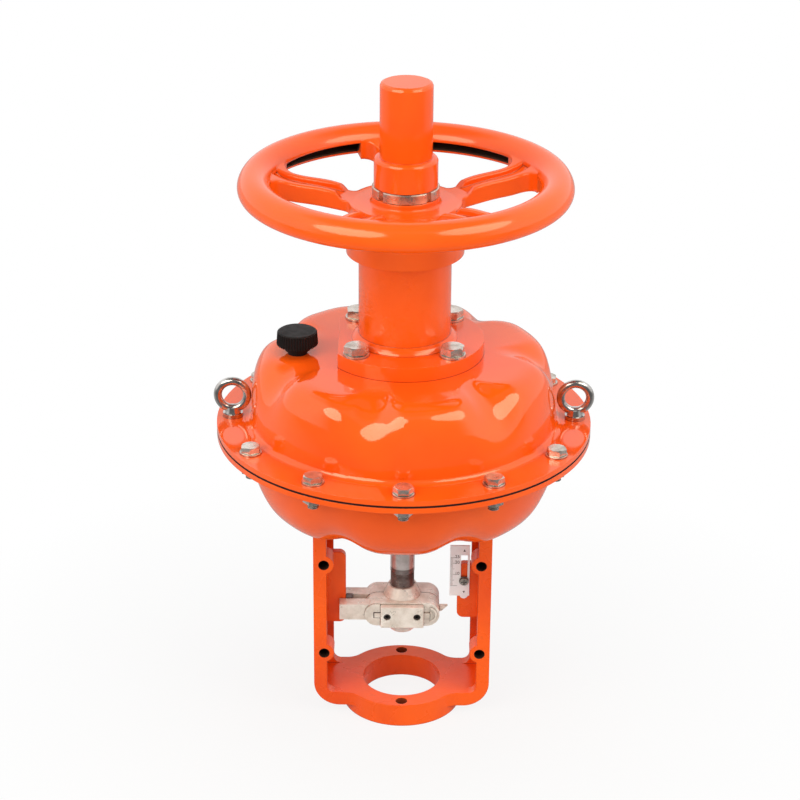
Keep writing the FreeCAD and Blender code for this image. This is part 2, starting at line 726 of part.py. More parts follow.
def make_vent_plug():
    """Vent plug: threaded stub, foot ring, flared body and a flat ribbed cap."""
    low = PLATEAU_Z
    cap_low = low + VENT_CAP_LOW_H
    cap_top = cap_low + VENT_CAP_H
    core_r = VENT_CAP_TOP_R - VENT_TOOTH_H
    plug = revolve((
        (0, low - VENT_STUB_H),
        (VENT_HOLE_R - RUNNING_GAP, low - VENT_STUB_H),
        (VENT_HOLE_R - RUNNING_GAP, low),
        (VENT_FOOT_R, low),
        (VENT_FOOT_R, low + 0.7 * VENT_FOOT_H),
        (VENT_BODY_R, low + VENT_FOOT_H),
        (VENT_BODY_R, low + VENT_BODY_H),
        (core_r, low + VENT_BODY_H),
        (core_r, cap_top),
        (core_r - VENT_CAP_EDGE, cap_top + VENT_CAP_EDGE),
        (0, cap_top + VENT_CAP_EDGE),
    ))
    low_outline = toothed_outline(VENT_CAP_R, cap_low)
    top_outline = toothed_outline(VENT_CAP_TOP_R, cap_top)
    ribs = Part.makeLoft([low_outline, top_outline], True, True)
    plug = plug.fuse(ribs)
    plug.translate(V(VENT_X, VENT_Y, 0))
    return plug


def side_edges(body, height):
    """Edges along Y at the outer sides of a body, at one height."""
    found = []
    for edge in body.Edges:
        centre = edge.CenterOfMass
        at_side = abs(abs(centre.x) - LEG_X) < 0.1 and abs(centre.y) < 0.1
        if at_side and abs(centre.z - height) < 0.1:
            found.append(edge)
    return found


def yoke_side_form():
    """Yoke seen from the front: rounded frame before its window is cut."""
    outer = block((-LEG_X, LEG_X), (LEG_FRONT_Y, LEG_BACK_Y), (BEAM_UNDER_Z, CASE_UNDER_Z))
    outer = outer.makeFillet(FOOT_CORNER_R, side_edges(outer, BEAM_UNDER_Z))
    return outer.makeFillet(HEAD_CORNER_R, side_edges(outer, CASE_UNDER_Z))


def yoke_window(web, corner, y_pair):
    """Window between the legs over part of the depth, with rounded corners."""
    half = LEG_X - web
    window = block((-half, half), y_pair, (RING_H, BRIDGE_Z))
    edges = []
    for edge in window.Edges:
        direction = edge.tangentAt(edge.FirstParameter)
        if abs(direction.y) > 0.9:
            edges.append(edge)
    return window.makeFillet(corner, edges)


def ring_web():
    """Plan of the ring, the beam strips and the concave blends between them."""
    ring = cylinder(RING_R, 0, RING_H)
    beam_half = LEG_BACK_Y
    reach = math.sqrt((RING_R + RING_FILLET_R) ** 2 - (beam_half + RING_FILLET_R) ** 2)
    blends = []
    for sx in (-1, 1):
        for sy in (-1, 1):
            x = sx * reach
            y = sy * (beam_half + RING_FILLET_R)
            x_pair = (min(0.0, x), max(0.0, x))
            y_pair = (min(sy * 10.0, y), max(sy * 10.0, y))
            fill = block(x_pair, y_pair, (BEAM_UNDER_Z, RING_H))
            inner = Part.makePolygon([V(0, 0, BEAM_UNDER_Z), V(x, 0, BEAM_UNDER_Z),
                                      V(x, y, BEAM_UNDER_Z), V(0, 0, BEAM_UNDER_Z)])
            wedge = Part.Face(inner).extrude(V(0, 0, RING_H - BEAM_UNDER_Z))
            rounding = cylinder(RING_FILLET_R, BEAM_UNDER_Z - 1, RING_H + 1, x, y)
            blends.append(fill.common(wedge).cut(rounding))
    return ring.fuse(blends)


def rounded_lug(x_pair, z_pair, free_side):
    """Plate inside a leg with its two free corners rounded."""
    plate = block(x_pair, (LUG_FRONT_Y, LUG_BACK_Y), z_pair)
    edges = []
    for edge in plate.Edges:
        direction = edge.tangentAt(edge.FirstParameter)
        if abs(direction.y) > 0.9 and abs(edge.CenterOfMass.x - free_side) < 0.1:
            edges.append(edge)
    return plate.makeFillet(LUG_CORNER_R, edges)


def make_yoke():
    """Cast yoke: ring, beam, channel legs, bosses, lugs and the bridge under the case."""
    body = yoke_side_form()
    front = (LEG_FRONT_Y - 1, LEG_FRONT_Y + LEG_STRIP_DEPTH)
    middle = (LEG_FRONT_Y + LEG_STRIP_DEPTH, LEG_BACK_Y - LEG_STRIP_DEPTH)
    back = (LEG_BACK_Y - LEG_STRIP_DEPTH, LEG_BACK_Y + 1)
    body = body.cut(yoke_window(LEG_FRONT_STRIP, STRIP_CORNER_R, front))
    body = body.cut(yoke_window(LEG_WEB, WEB_CORNER_R, middle))
    body = body.cut(yoke_window(LEG_BACK_STRIP, STRIP_CORNER_R, back))
    wall = LEG_X - LEG_WEB
    adds = [ring_web(), cylinder(BRIDGE_FLANGE_R, BRIDGE_Z, CASE_UNDER_Z)]
    adds.append(rounded_lug((-wall - 1, LEFT_LUG_X), LEFT_LUG_Z, LEFT_LUG_X))
    adds.append(rounded_lug((RIGHT_LUG_X, wall + 1), RIGHT_LUG_Z, RIGHT_LUG_X))
    cuts = [cylinder(RING_BORE_R, -1, RING_H + 1)]
    for sy in (-1, 1):
        cuts.append(cylinder(RING_HOLE_R, -1, RING_H + 1, 0.0, sy * RING_HOLE_Y))
    for sx in (-1, 1):
        for z in (BOSS_LOW_Z, BOSS_HIGH_Z):
            x = sx * BOSS_X
            depth = (LEG_FRONT_Y, LEG_FRONT_Y + BOSS_DEPTH)
            adds.append(front_rod(BOSS_R, depth, x, z))
            hole = (LEG_FRONT_Y - 1, LEG_FRONT_Y + BOSS_HOLE_DEPTH)
            cuts.append(front_rod(BOSS_HOLE_R, hole, x, z))
    guide_clear = GUIDE_COLLAR_R + RUNNING_GAP
    cuts.append(cylinder(guide_clear, BRIDGE_Z - 1, CASE_UNDER_Z + 1))
    for x, y in bridge_bolt_points():
        cuts.append(cylinder(BOLT_CLEAR_R, BRIDGE_Z - 1, CASE_UNDER_Z + 1, x, y))
    scale_x = 0.5 * (SCALE_SLOT_X[0] + SCALE_SLOT_X[1])
    screw_hole = (LUG_FRONT_Y - 1, LUG_BACK_Y - 1)
    cuts.append(front_rod(SCREW_ROD_R + SCREW_GAP, screw_hole, scale_x, SCALE_SCREW_Z))
    return body.fuse(adds).cut(cuts).removeSplitter()


def make_bridge_bolts():
    """Four bolts from below the bridge into the lower case."""
    bolts = []
    for index, point in enumerate(bridge_bolt_points()):
        head = hexagon(HEX_AF, 0, HEX_HEAD_H, 0, 0, 15 + 40 * index)
        head.rotate(V(0, 0, 0), V(1, 0, 0), 180)
        head.translate(V(point[0], point[1], BRIDGE_Z))
        end = CASE_UNDER_Z + BRIDGE_BOLT_DEPTH
        shank = cylinder(BOLT_R, BRIDGE_Z, end, point[0], point[1])
        bolts.append(head.fuse(shank))
    return group(bolts)


def make_stem_guide():
    """Brass guide: collar inside the bridge and a hexagon below it."""
    low = BRIDGE_Z - GUIDE_H
    collar = cylinder(GUIDE_COLLAR_R, BRIDGE_Z, CASE_UNDER_Z)
    nut = hexagon(GUIDE_AF, 0, GUIDE_H, 0, 0, 30)
    nut.rotate(V(0, 0, 0), V(1, 0, 0), 180)
    nut.translate(V(0, 0, BRIDGE_Z))
    bore = cylinder(STEM_R + RUNNING_GAP, low - 1, CASE_UNDER_Z + 1)
    return collar.fuse(nut).cut(bore)


def make_stem():
    """Bright stem from its thread up to the cup inside the case."""
    return cylinder(STEM_R, STEM_THREAD_Z, CUP_LOW_Z)


def make_stem_end():
    """Lower end of the stem with thread ridges, clamped at its foot."""
    low = CONE_TOP_Z + THREAD_START
    ridges = []
    count = int((STEM_THREAD_Z - low) / THREAD_PITCH)
    for k in range(count):
        z = low + (k + 0.25) * THREAD_PITCH
        ridges.append(tube(STEM_R + 1, STEM_THREAD_R - THREAD_DEPTH, z, z + 0.5 * THREAD_PITCH))
    return cylinder(STEM_THREAD_R, STEM_LOW_Z, STEM_THREAD_Z).cut(ridges)


def make_stem_cup():
    """Cup on top of the stem that lets the spindle head travel freely inside it."""
    room_low = CUP_LOW_Z + CUP_FLOOR
    body = cylinder(CUP_R, CUP_LOW_Z, CUP_TOP_Z)
    room = cylinder(CUP_BORE_R, room_low, room_low + CUP_ROOM_H)
    entry = cylinder(SPINDLE_R + CUP_ENTRY_GAP, room_low, CUP_TOP_Z + 1)
    return body.cut([room, entry])


def make_spindle():
    """Spindle with a flat head at its lower end and a chamfered top."""
    head_top = SPINDLE_HEAD_Z + SPINDLE_HEAD_H
    return revolve((
        (0, SPINDLE_HEAD_Z),
        (SPINDLE_HEAD_R, SPINDLE_HEAD_Z),
        (SPINDLE_HEAD_R, head_top),
        (SPINDLE_R, head_top),
        (SPINDLE_R, SPINDLE_TOP_Z - SPINDLE_END_EDGE),
        (SPINDLE_R - SPINDLE_END_EDGE, SPINDLE_TOP_Z),
        (0, SPINDLE_TOP_Z),
    ))


def make_drive_nut():
    """Drive nut: flange below the neck's top disc and a shank up through the hub."""
    flange_top = NECK_TOP_LOW_Z - NUT_END_GAP
    low = flange_top - NUT_FLANGE_T
    flange = cylinder(NUT_FLANGE_R, low, flange_top)
    shank = cylinder(NUT_SHANK_R, low, NUT_TOP_Z)
    return flange.fuse(shank).cut(cylinder(SPINDLE_R + RUNNING_GAP, low - 1, NUT_TOP_Z + 1))


def raised(points, height):
    """Points of a section line set at a height."""
    return [(r, height + rise) for r, rise in points]


def inner_points(points, wall):
    """Points of the same section line, moved inwards by the wall."""
    moved = []
    last = len(points) - 1
    for k in range(last + 1):
        before = points[max(k - 1, 0)]
        after = points[min(k + 1, last)]
        run = after[0] - before[0]
        rise = after[1] - before[1]
        length = math.hypot(run, rise)
        moved.append((points[k][0] + wall * rise / length, points[k][1] - wall * run / length))
    return moved


def rim_solid():
    """Rim: smooth open section turned about the axis."""
    outside = raised(RIM_OUTSIDE, WEB_TOP_Z)
    inside = inner_points(outside, RIM_WALL)
    inside.reverse()
    low_lip = (outside[-1], inside[0])
    high_lip = (inside[-1], outside[0])
    return revolve_smooth([outside, low_lip, inside, high_lip])


def window_prism(grow, outer_r):
    """Upright prism of the front window, grown outwards, with its four corners rounded."""
    half = math.radians(180.0 / SPOKES)
    side = WINDOW_SIDE - grow
    inner_r = WINDOW_INNER_R - grow
    low = WEB_LOW_Z - WINDOW_REACH_DOWN
    high = WEB_TOP_Z + WINDOW_REACH_UP
    apex = V(0, -side / math.sin(half), low)
    reach = 2 * outer_r
    arm_x = reach * math.sin(half)
    arm_y = reach * math.cos(half)
    right = V(arm_x, apex.y - arm_y, low)
    left = V(-arm_x, apex.y - arm_y, low)
    wedge = Part.Face(Part.makePolygon([apex, right, left, apex])).extrude(V(0, 0, high - low))
    prism = tube(outer_r, inner_r, low, high).common(wedge)
    inner_edges = []
    outer_edges = []
    for edge in prism.Edges:
        if abs(edge.tangentAt(edge.FirstParameter).z) < 0.9:
            continue
        distance = math.hypot(edge.CenterOfMass.x, edge.CenterOfMass.y)
        if abs(distance - inner_r) < 0.1:
            inner_edges.append(edge)
        else:
            outer_edges.append(edge)
    prism = prism.makeFillet(WINDOW_INNER_FILLET + grow, inner_edges)
    if grow == 0:
        prism = prism.makeFillet(WINDOW_OUTER_FILLET, outer_edges)
    return prism


def rim_opening():
    """Sector that keeps the rim's inside open behind the front window."""
    centre_r = WINDOW_OUTER_R - WINDOW_OUTER_FILLET
    spoke_part = math.asin((WINDOW_SIDE + WINDOW_OUTER_FILLET) / centre_r)
    half = math.radians(180.0 / SPOKES) - spoke_part
    low = WEB_LOW_Z - WINDOW_REACH_DOWN
    high = WEB_TOP_Z + WINDOW_REACH_UP
    reach = 2 * WINDOW_OUTER_R
    right = V(reach * math.sin(half), -reach * math.cos(half), low)
    left = V(-right.x, right.y, low)
    tip = V(0, 0, low)
    wedge = Part.Face(Part.makePolygon([tip, right, left, tip])).extrude(V(0, 0, high - low))
    outer_r = RIM_CREST_R + RIM_OPENING_SPARE
    return tube(outer_r, WINDOW_OUTER_R - WINDOW_LAP, low, high).common(wedge)


def crest_edges(strips):
    """Long upper edges of the raised strips beside the front window."""
    found = []
    for edge in strips.Edges:
        centre = edge.CenterOfMass
        reach = math.hypot(centre.x, centre.y)
        if edge.Length > 15 and centre.z > WEB_TOP_Z + 8 and reach < WINDOW_OUTER_R - 5:
            found.append(edge)
    return found


def bead_body():
    """Raised strips along the edges of the front window, before they are set on the web."""
    end = raised(WEB_TOP, WEB_TOP_Z)[-1]
    crest = raised(WEB_TOP[1:-1], WEB_TOP_Z + BEAD_H)
    crest.append((end[0], end[1] + 0.5 * BEAD_H))
    foot = (BEAD_START_R, WEB_TOP_Z - BEAD_SINK)
    under = (end[0], end[1] - BEAD_END_SINK)
    ridge = revolve_smooth([(foot, crest[0]), crest, (crest[-1], under), (under, foot)])
    grown = window_prism(BEAD_W, RIM_CREST_R)
    strips = ridge.common(grown).cut([window_prism(0, WINDOW_OUTER_R), rim_opening()])
    return strips.makeFillet(BEAD_EDGE_R, crest_edges(strips))


def make_handwheel():
    """Handwheel: hub and pressed web with five beaded windows inside an open rolled rim."""
    top = raised(WEB_TOP, WEB_TOP_Z)
    low = raised(WEB_LOW, WEB_LOW_Z)
    hub = corner_chain((
        top[0],
        (HUB_R + HUB_CORNER, WEB_TOP_Z),
        (HUB_R, WEB_TOP_Z + HUB_CORNER),
        (HUB_R, HUB_TOP_Z),
        (0, HUB_TOP_Z),
        (0, HUB_LOW_Z),
        (HUB_R + HUB_FOOT_FLARE, HUB_LOW_Z),
        (HUB_R + HUB_ROOT_FLARE, WEB_LOW_Z),
        low[0],
    ))
    edge = (low[-1], top[-1])
    top.reverse()
    body = revolve_smooth(hub + [low, edge, top])
    cuts = []
    beads = []
    shapes = (window_prism(0, WINDOW_OUTER_R), rim_opening(), bead_body())
    for k in range(SPOKES):
        turn = SPOKE_START_DEG + (k + 0.5) * 360.0 / SPOKES
        window, opening, bead = [shape.copy() for shape in shapes]
        for shape in (window, opening, bead):
            shape.rotate(V(0, 0, 0), V(0, 0, 1), turn)
        cuts += [window, opening]
        beads += bead.Solids
    wheel = body.cut(cuts).fuse(beads + [rim_solid()])
    return wheel.cut(cylinder(NUT_SHANK_R + SLEEVE_GAP, HUB_LOW_Z - 1, HUB_TOP_Z + 1))


def make_lock_ring():
    """Slotted ring nut that holds the wheel down on the drive nut."""
    top = HUB_TOP_Z + LOCK_RING_H
    ring = revolve((
        (NUT_SHANK_R + SLEEVE_GAP, HUB_TOP_Z),
        (HUB_R - LOCK_RING_EDGE, HUB_TOP_Z),
        (HUB_R, HUB_TOP_Z + LOCK_RING_EDGE),
        (HUB_R, top - LOCK_RING_EDGE),
        (HUB_R - LOCK_RING_EDGE, top),
        (NUT_SHANK_R + SLEEVE_GAP, top),
    ))
    slots = []
    for degrees in LOCK_RING_SLOTS:
        half = 0.5 * LOCK_RING_SLOT
        depth = (-HUB_R - 1, -HUB_R + LOCK_RING_SLOT_DEPTH)
        slot = block((-half, half), depth, (HUB_TOP_Z - 1, top + 1))
        slot.rotate(V(0, 0, 0), V(0, 0, 1), degrees)
        slots.append(slot)
    return ring.cut(slots)


def make_cap():
    """Spindle cap: hollow tube with a collar at its foot and rounded edges."""
    low = HUB_TOP_Z + LOCK_RING_H
    step = low + CAP_COLLAR_H
    nut_room = NUT_TOP_Z + CAP_ROOM_SPARE
    collar_mid = EDGE_ROUND_SHARE * CAP_COLLAR_EDGE
    top_mid = EDGE_ROUND_SHARE * CAP_TOP_EDGE
    shell = revolve((
        (CAP_BORE_R, low),
        (CAP_COLLAR_R - CAP_FOOT_EDGE, low),
        (CAP_COLLAR_R, low + CAP_FOOT_EDGE),
        (CAP_COLLAR_R, step - CAP_COLLAR_EDGE),
        (CAP_COLLAR_R - collar_mid, step - collar_mid),
        (CAP_COLLAR_R - CAP_COLLAR_EDGE, step),
        (CAP_R, step + CAP_STEP),
        (CAP_R, CAP_TOP_Z - CAP_TOP_EDGE),
        (CAP_R - top_mid, CAP_TOP_Z - top_mid),
        (CAP_R - CAP_TOP_EDGE, CAP_TOP_Z),
        (0, CAP_TOP_Z),
        (0, CAP_TOP_Z - CAP_WALL_TOP),
        (CAP_TUBE_BORE_R, CAP_TOP_Z - CAP_WALL_TOP),
        (CAP_TUBE_BORE_R, nut_room),
        (CAP_BORE_R, nut_room),
    ))
    return shell


def clamp_body():
    """Whole stem clamp before it is split: round-ended bar, cone, bores."""
    depth = (CLAMP_FRONT_Y, CLAMP_BACK_Y)
    bar = block((-CLAMP_END_X, CLAMP_END_X), depth, (CLAMP_Z - CLAMP_R, CLAMP_Z + CLAMP_R))
    ends = [front_rod(CLAMP_R, depth, sx * CLAMP_END_X, CLAMP_Z) for sx in (-1, 1)]
    top = CLAMP_Z + CLAMP_R
    cone = Part.makeCone(CONE_LOW_R, CONE_TOP_R, CONE_TOP_Z - top + 0.5, V(0, 0, top - 0.5))
    body = bar.fuse(ends + [cone]).removeSplitter()
    cuts = [cylinder(STEM_THREAD_R + RUNNING_GAP, SOCKET_TOP_Z + 1, CONE_TOP_Z + 1)]
    cuts.append(cylinder(SOCKET_R, CLAMP_Z - CLAMP_R - 1, SOCKET_TOP_Z))
    for sx in (-1, 1):
        cuts.append(front_rod(BLOCK_SCREW_R + BLOCK_SCREW_GAP, depth, sx * BLOCK_SCREW_X, CLAMP_Z))
    return body.cut(cuts)


def clamp_side(near, far):
    """Box round one side of the stem clamp, between two depths."""
    reach = CLAMP_END_X + CLAMP_R + 1
    return block((-reach, reach), (near, far), (CLAMP_Z - CLAMP_R - 1, CONE_TOP_Z + 1))


def make_clamp_front():
    """Front clamp half with the arm that runs in front of the left lug."""
    half = clamp_body().common(clamp_side(CLAMP_FRONT_Y - 1, -0.5 * CLAMP_GAP))
    depth = (CLAMP_FRONT_Y + ARM_FRONT_INSET, LUG_FRONT_Y - ARM_GAP)
    arm = block((ARM_END_X, -CLAMP_END_X), depth, ARM_Z)
    return half.fuse(arm).removeSplitter()


def make_clamp_rear():
    """Rear clamp half with the arm that runs behind the left lug."""
    half = clamp_body().common(clamp_side(0.5 * CLAMP_GAP, CLAMP_BACK_Y + 1))
    low = LUG_BACK_Y + ARM_GAP
    arm = block((ARM_END_X, -CLAMP_END_X), (low, low + REAR_ARM_DEPTH), ARM_Z)
    return half.fuse(arm).removeSplitter()


def make_clamp_block():
    """Front plate of the clamp with two screw holes and a tab at each side."""
    depth = (CLAMP_FRONT_Y - BLOCK_T, CLAMP_FRONT_Y)
    plate = block((-BLOCK_X, BLOCK_X), depth, BLOCK_Z)
    edges = []
    for edge in plate.Edges:
        direction = edge.tangentAt(edge.FirstParameter)
        if abs(direction.y) > 0.9 or edge.CenterOfMass.y < depth[0] + 0.1:
            edges.append(edge)
    plate = plate.makeFillet(BLOCK_EDGE_R, edges)
    tab_depth = (CLAMP_FRONT_Y - BLOCK_TAB_T, CLAMP_FRONT_Y)
    tabs = [block((-BLOCK_TAB_X, -BLOCK_X + 1), tab_depth, BLOCK_TAB_Z)]
    tabs.append(block((BLOCK_X - 1, BLOCK_TAB_X), tab_depth, BLOCK_TAB_Z))
    holes = []
    for sx in (-1, 1):
        long = (depth[0] - 1, depth[1] + 1)
        holes.append(front_rod(BLOCK_SCREW_R + BLOCK_SCREW_GAP, long, sx * BLOCK_SCREW_X, CLAMP_Z))
    return plate.fuse(tabs).cut(holes)


def make_clamp_screws():
    """Two socket screws through the clamp, sunk in the front plate."""
    screws = []
    front = CLAMP_FRONT_Y - BLOCK_T + BLOCK_SCREW_RECESS
    for sx in (-1, 1):
        x = sx * BLOCK_SCREW_X
        rod = front_rod(BLOCK_SCREW_R, (front, CLAMP_BACK_Y - 1), x, CLAMP_Z)
        socket = hexagon(BLOCK_SOCKET_AF, 0, BLOCK_SOCKET_DEPTH, 0, 0)
        socket.rotate(V(0, 0, 0), V(1, 0, 0), 90)
        socket.translate(V(x, front + BLOCK_SOCKET_DEPTH, CLAMP_Z))
        screws.append(rod.cut(socket))
    return group(screws)


def make_clamp_disc():
    """Stepped disc on the right end of the clamp."""
    depth = (CLAMP_FRONT_Y - END_DISC_T, CLAMP_FRONT_Y)
    groove_depth = (depth[0] - 1, depth[0] + END_DISC_GROOVE_DEPTH)
    x = CLAMP_END_X + END_DISC_OFFSET
    disc = front_rod(END_DISC_R, depth, x, CLAMP_Z)
    groove = front_rod(END_DISC_GROOVE[0], groove_depth, x, CLAMP_Z)
    centre = front_rod(END_DISC_GROOVE[1], depth, x, CLAMP_Z)
    clear = block((0, BLOCK_TAB_X + 0.3), (depth[0] - 1, depth[1] + 1), (BLOCK_Z[0], BLOCK_Z[1]))
    return disc.cut(groove).fuse(centre).cut(clear)


def make_pointer():
    """Pointer: a wedge with a level top edge."""
    root = CLAMP_END_X + POINTER_ROOT
    corners = (
        (root, POINTER_Z[0]),
        (CLAMP_END_X + CLAMP_R + POINTER_BEND, POINTER_Z[0]),
        (POINTER_TIP_X, POINTER_Z[1] - POINTER_TIP_H),
        (POINTER_TIP_X, POINTER_Z[1]),
        (root, POINTER_Z[1]),
    )
    points = [V(x, POINTER_Y[0], z) for x, z in corners]
    outline = Part.makePolygon(points + [points[0]])
    plate = Part.Face(outline).extrude(V(0, POINTER_Y[1] - POINTER_Y[0], 0))
    around = front_rod(CLAMP_R, (CLAMP_FRONT_Y - 1, CLAMP_BACK_Y), CLAMP_END_X, CLAMP_Z)
    return plate.cut(around)


def make_connector():
    """Round connector below the clamp, threaded for the valve stem."""
    top = CLAMP_Z - CLAMP_R
    body = revolve((
        (0, CONNECTOR_LOW_Z),
        (CONNECTOR_R - CONNECTOR_EDGE, CONNECTOR_LOW_Z),
        (CONNECTOR_R, CONNECTOR_LOW_Z + CONNECTOR_EDGE),
        (CONNECTOR_R, top),
        (SOCKET_R - CONNECTOR_GAP, top),
        (SOCKET_R - CONNECTOR_GAP, SOCKET_TOP_Z - CONNECTOR_END_GAP),
        (0, SOCKET_TOP_Z - CONNECTOR_END_GAP),
    ))
    return body.cut(cylinder(CONNECTOR_BORE_R, CONNECTOR_LOW_Z - 1, top))


def make_scale_plate():
    """Scale plate with a long slot, engraved ticks and a round tongue at its foot."""
    depth = (LUG_FRONT_Y - SCALE_T, LUG_FRONT_Y)
    plate = block(SCALE_X, depth, SCALE_Z)
    slot_x = 0.5 * (SCALE_SLOT_X[0] + SCALE_SLOT_X[1])
    slot_r = 0.5 * (SCALE_SLOT_X[1] - SCALE_SLOT_X[0])
    tongue = front_rod(SCALE_TONGUE_R, depth, slot_x, SCALE_Z[0] + SCALE_TONGUE_RISE)
    long = (depth[0] - 1, depth[1] + 1)
    slot = block(SCALE_SLOT_X, long, (SCALE_SLOT_Z[0] + slot_r, SCALE_SLOT_Z[1]))
    foot = front_rod(slot_r, long, slot_x, SCALE_SLOT_Z[0] + slot_r)
    return plate.fuse(tongue).removeSplitter().cut([slot, foot])


def make_scale_screw():
    """Screw with a cross recess, and its washer, that hold the scale in its slot."""
    x = 0.5 * (SCALE_SLOT_X[0] + SCALE_SLOT_X[1])
    face = LUG_FRONT_Y - SCALE_T
    seat = face - SCREW_WASHER_T
    front = seat - SCREW_HEAD_T
    washer = front_rod(SCREW_WASHER_R, (seat, face), x, SCALE_SCREW_Z)
    head = front_rod(SCREW_HEAD_R, (front, seat), x, SCALE_SCREW_Z)
    rod = front_rod(SCREW_ROD_R, (face, LUG_FRONT_Y + SCREW_ROD_DEPTH), x, SCALE_SCREW_Z)
    depth = (front - 1, front + SCREW_RECESS_DEPTH)
    half = 0.5 * SCREW_RECESS_W
    bounds = front_rod(SCREW_RECESS_R, depth, x, SCALE_SCREW_Z)
    recess = []
    for reach_x, reach_z in ((SCREW_HEAD_R, half), (half, SCREW_HEAD_R)):
        x_pair = (x - reach_x, x + reach_x)
        z_pair = (SCALE_SCREW_Z - reach_z, SCALE_SCREW_Z + reach_z)
        recess.append(block(x_pair, depth, z_pair).common(bounds))
    return washer.fuse([head, rod]).cut(recess)


def main():
    """Build and write every node."""
    os.makedirs("parts", exist_ok=True)
    makers = {
        "yoke": make_yoke,
        "lower_case": make_lower_case,
        "diaphragm": make_diaphragm,
        "upper_case": make_upper_case,
        "flange_bolts": make_flange_bolts,
        "flange_washers": make_flange_washers,
        "flange_nuts": make_flange_nuts,
        "lifting_eyes": make_lifting_eyes,
        "bridge_bolts": make_bridge_bolts,
        "stem_guide": make_stem_guide,
        "neck": make_neck,
        "neck_bolts": make_neck_bolts,
        "neck_washers": make_neck_washers,
        "vent_plug": make_vent_plug,
        "scale_plate": make_scale_plate,
        "scale_screw": make_scale_screw,
        "stem": make_stem,
        "stem_end": make_stem_end,
        "stem_cup": make_stem_cup,
        "clamp_front": make_clamp_front,
        "clamp_rear": make_clamp_rear,
        "clamp_block": make_clamp_block,
        "clamp_screws": make_clamp_screws,
        "clamp_disc": make_clamp_disc,
        "pointer": make_pointer,
        "connector": make_connector,
        "spindle": make_spindle,
        "drive_nut": make_drive_nut,
        "handwheel": make_handwheel,
        "lock_ring": make_lock_ring,
        "cap": make_cap,
    }
    for name, maker in makers.items():
        export(name, maker())


main()
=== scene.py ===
import bpy
import bmesh
import math
from mathutils import Matrix, Vector


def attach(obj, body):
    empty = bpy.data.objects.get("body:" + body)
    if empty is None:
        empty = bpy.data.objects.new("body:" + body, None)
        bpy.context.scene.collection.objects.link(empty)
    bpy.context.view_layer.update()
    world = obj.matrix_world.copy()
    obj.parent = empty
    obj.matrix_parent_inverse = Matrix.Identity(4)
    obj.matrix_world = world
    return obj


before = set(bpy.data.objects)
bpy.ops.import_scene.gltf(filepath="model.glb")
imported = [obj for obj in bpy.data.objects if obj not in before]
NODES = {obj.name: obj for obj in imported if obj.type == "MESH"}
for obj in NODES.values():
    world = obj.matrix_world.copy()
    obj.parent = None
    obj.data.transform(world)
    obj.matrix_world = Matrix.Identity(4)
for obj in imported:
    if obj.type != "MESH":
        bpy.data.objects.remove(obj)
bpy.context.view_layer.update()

# The part's sizes and places are in millimetres, those of the camera, lamps and floor in metres
MM = 0.001

# Places of hollows that lie in shade
BOSS_X = 60.0
BOSS_MIDDLE_Z = 92.0
BOSS_SPACING = 38.6
BOSS_HOLE_R = 4.02
BOSS_BACK_Y = -12.0
RING_HOLE_Y = 38.5
RING_HOLE_R = 4.52
RING_TOP_Z = 17.8
RIM_MIDDLE_R = 109.0
RIM_MIDDLE_Z = 428.0
RIM_INSIDE_R = 9.7
MASK_FADE = 0.2

# Share of the shade that the ring's bolt holes get
RING_HOLE_SHADE = 0.75

# Top of the stem's thread, and the height over which it fades out
THREAD_TOP_Z = 116.7
THREAD_FADE = 0.6

# The neck's pipe, whose paint is rougher than its discs'
PIPE_R = 34.0
PIPE_MARGIN = 0.5

# Rounding of the paint's film at sharp edges, how far the painted crease shade reaches, and the
# samples that both of them take
PAINT_EDGE_R = 0.5
WHEEL_EDGE_R = 2.2
YOKE_EDGE_R = 1.0
CREASE_SHADE_REACH = 1.5
EDGE_SAMPLES = 8

# Noise scales, in waves a metre
DRIFT_SCALE = 14.0
PATCH_SCALE = 28.0
SHEEN_SCALE = 40.0
GRIME_SCALE = 55.0
LUMP_SCALE = 150.0
FINE_LUMP_SCALE = 330.0
PEEL_SCALE = 420.0
PLATING_SCALE = 90.0
METAL_SHEEN_SCALE = 160.0
THREAD_SCALE = 260.0
PLASTIC_SCALE = 60.0
PLASTIC_SHEEN_SCALE = 200.0
PLASTIC_GRAIN_SCALE = 900.0

# Ranges of noise over which dirt and the pipe's rough patches come in, the range of openness
# over which the painted crease shade fades out, and what is left of roughness and of thread colour
# between patches
GRIME_FROM = (0.66, 0.80)
PATCH_FROM = (0.42, 0.58)
CREASE_SHADE_FROM = (0.40, 0.85)
SMOOTH_SHARE = 0.15
THREAD_LIGHTEST = 0.65


# Node helpers

def new_material(name):
    """Material with its node tree and its shader."""
    material = bpy.data.materials.new(name)
    material.use_nodes = True
    tree = material.node_tree
    shader = tree.nodes["Principled BSDF"]
    return material, tree, shader


def add(tree, kind, **values):
    """New node with some of its settings."""
    node = tree.nodes.new(kind)
    for key, value in values.items():
        setattr(node, key, value)
    return node


def noise(tree, scale, detail, roughness=0.5, stretch=None):
    """Noise in the piece's own frame, finer along an axis where its stretch is above 1."""
    coord = add(tree, "ShaderNodeTexCoord")
    source = coord.outputs["Object"]
    if stretch:
        mapping = add(tree, "ShaderNodeMapping")
        mapping.inputs["Scale"].default_value = stretch
        tree.links.new(source, mapping.inputs["Vector"])
        source = mapping.outputs["Vector"]
    texture = add(tree, "ShaderNodeTexNoise")
    texture.inputs["Scale"].default_value = scale
    texture.inputs["Detail"].default_value = detail
    texture.inputs["Roughness"].default_value = roughness
    tree.links.new(source, texture.inputs["Vector"])
    return texture.outputs["Fac"]


def ramp(tree, source, stops):
    """Colour that blends between two stops, each a place from 0 to 1 and its colour."""
    node = add(tree, "ShaderNodeValToRGB")
    for element, (place, colour) in zip(node.color_ramp.elements, stops):
        element.position = place
        element.color = colour + (1.0,)
    tree.links.new(source, node.inputs["Fac"])
    return node.outputs["Color"]


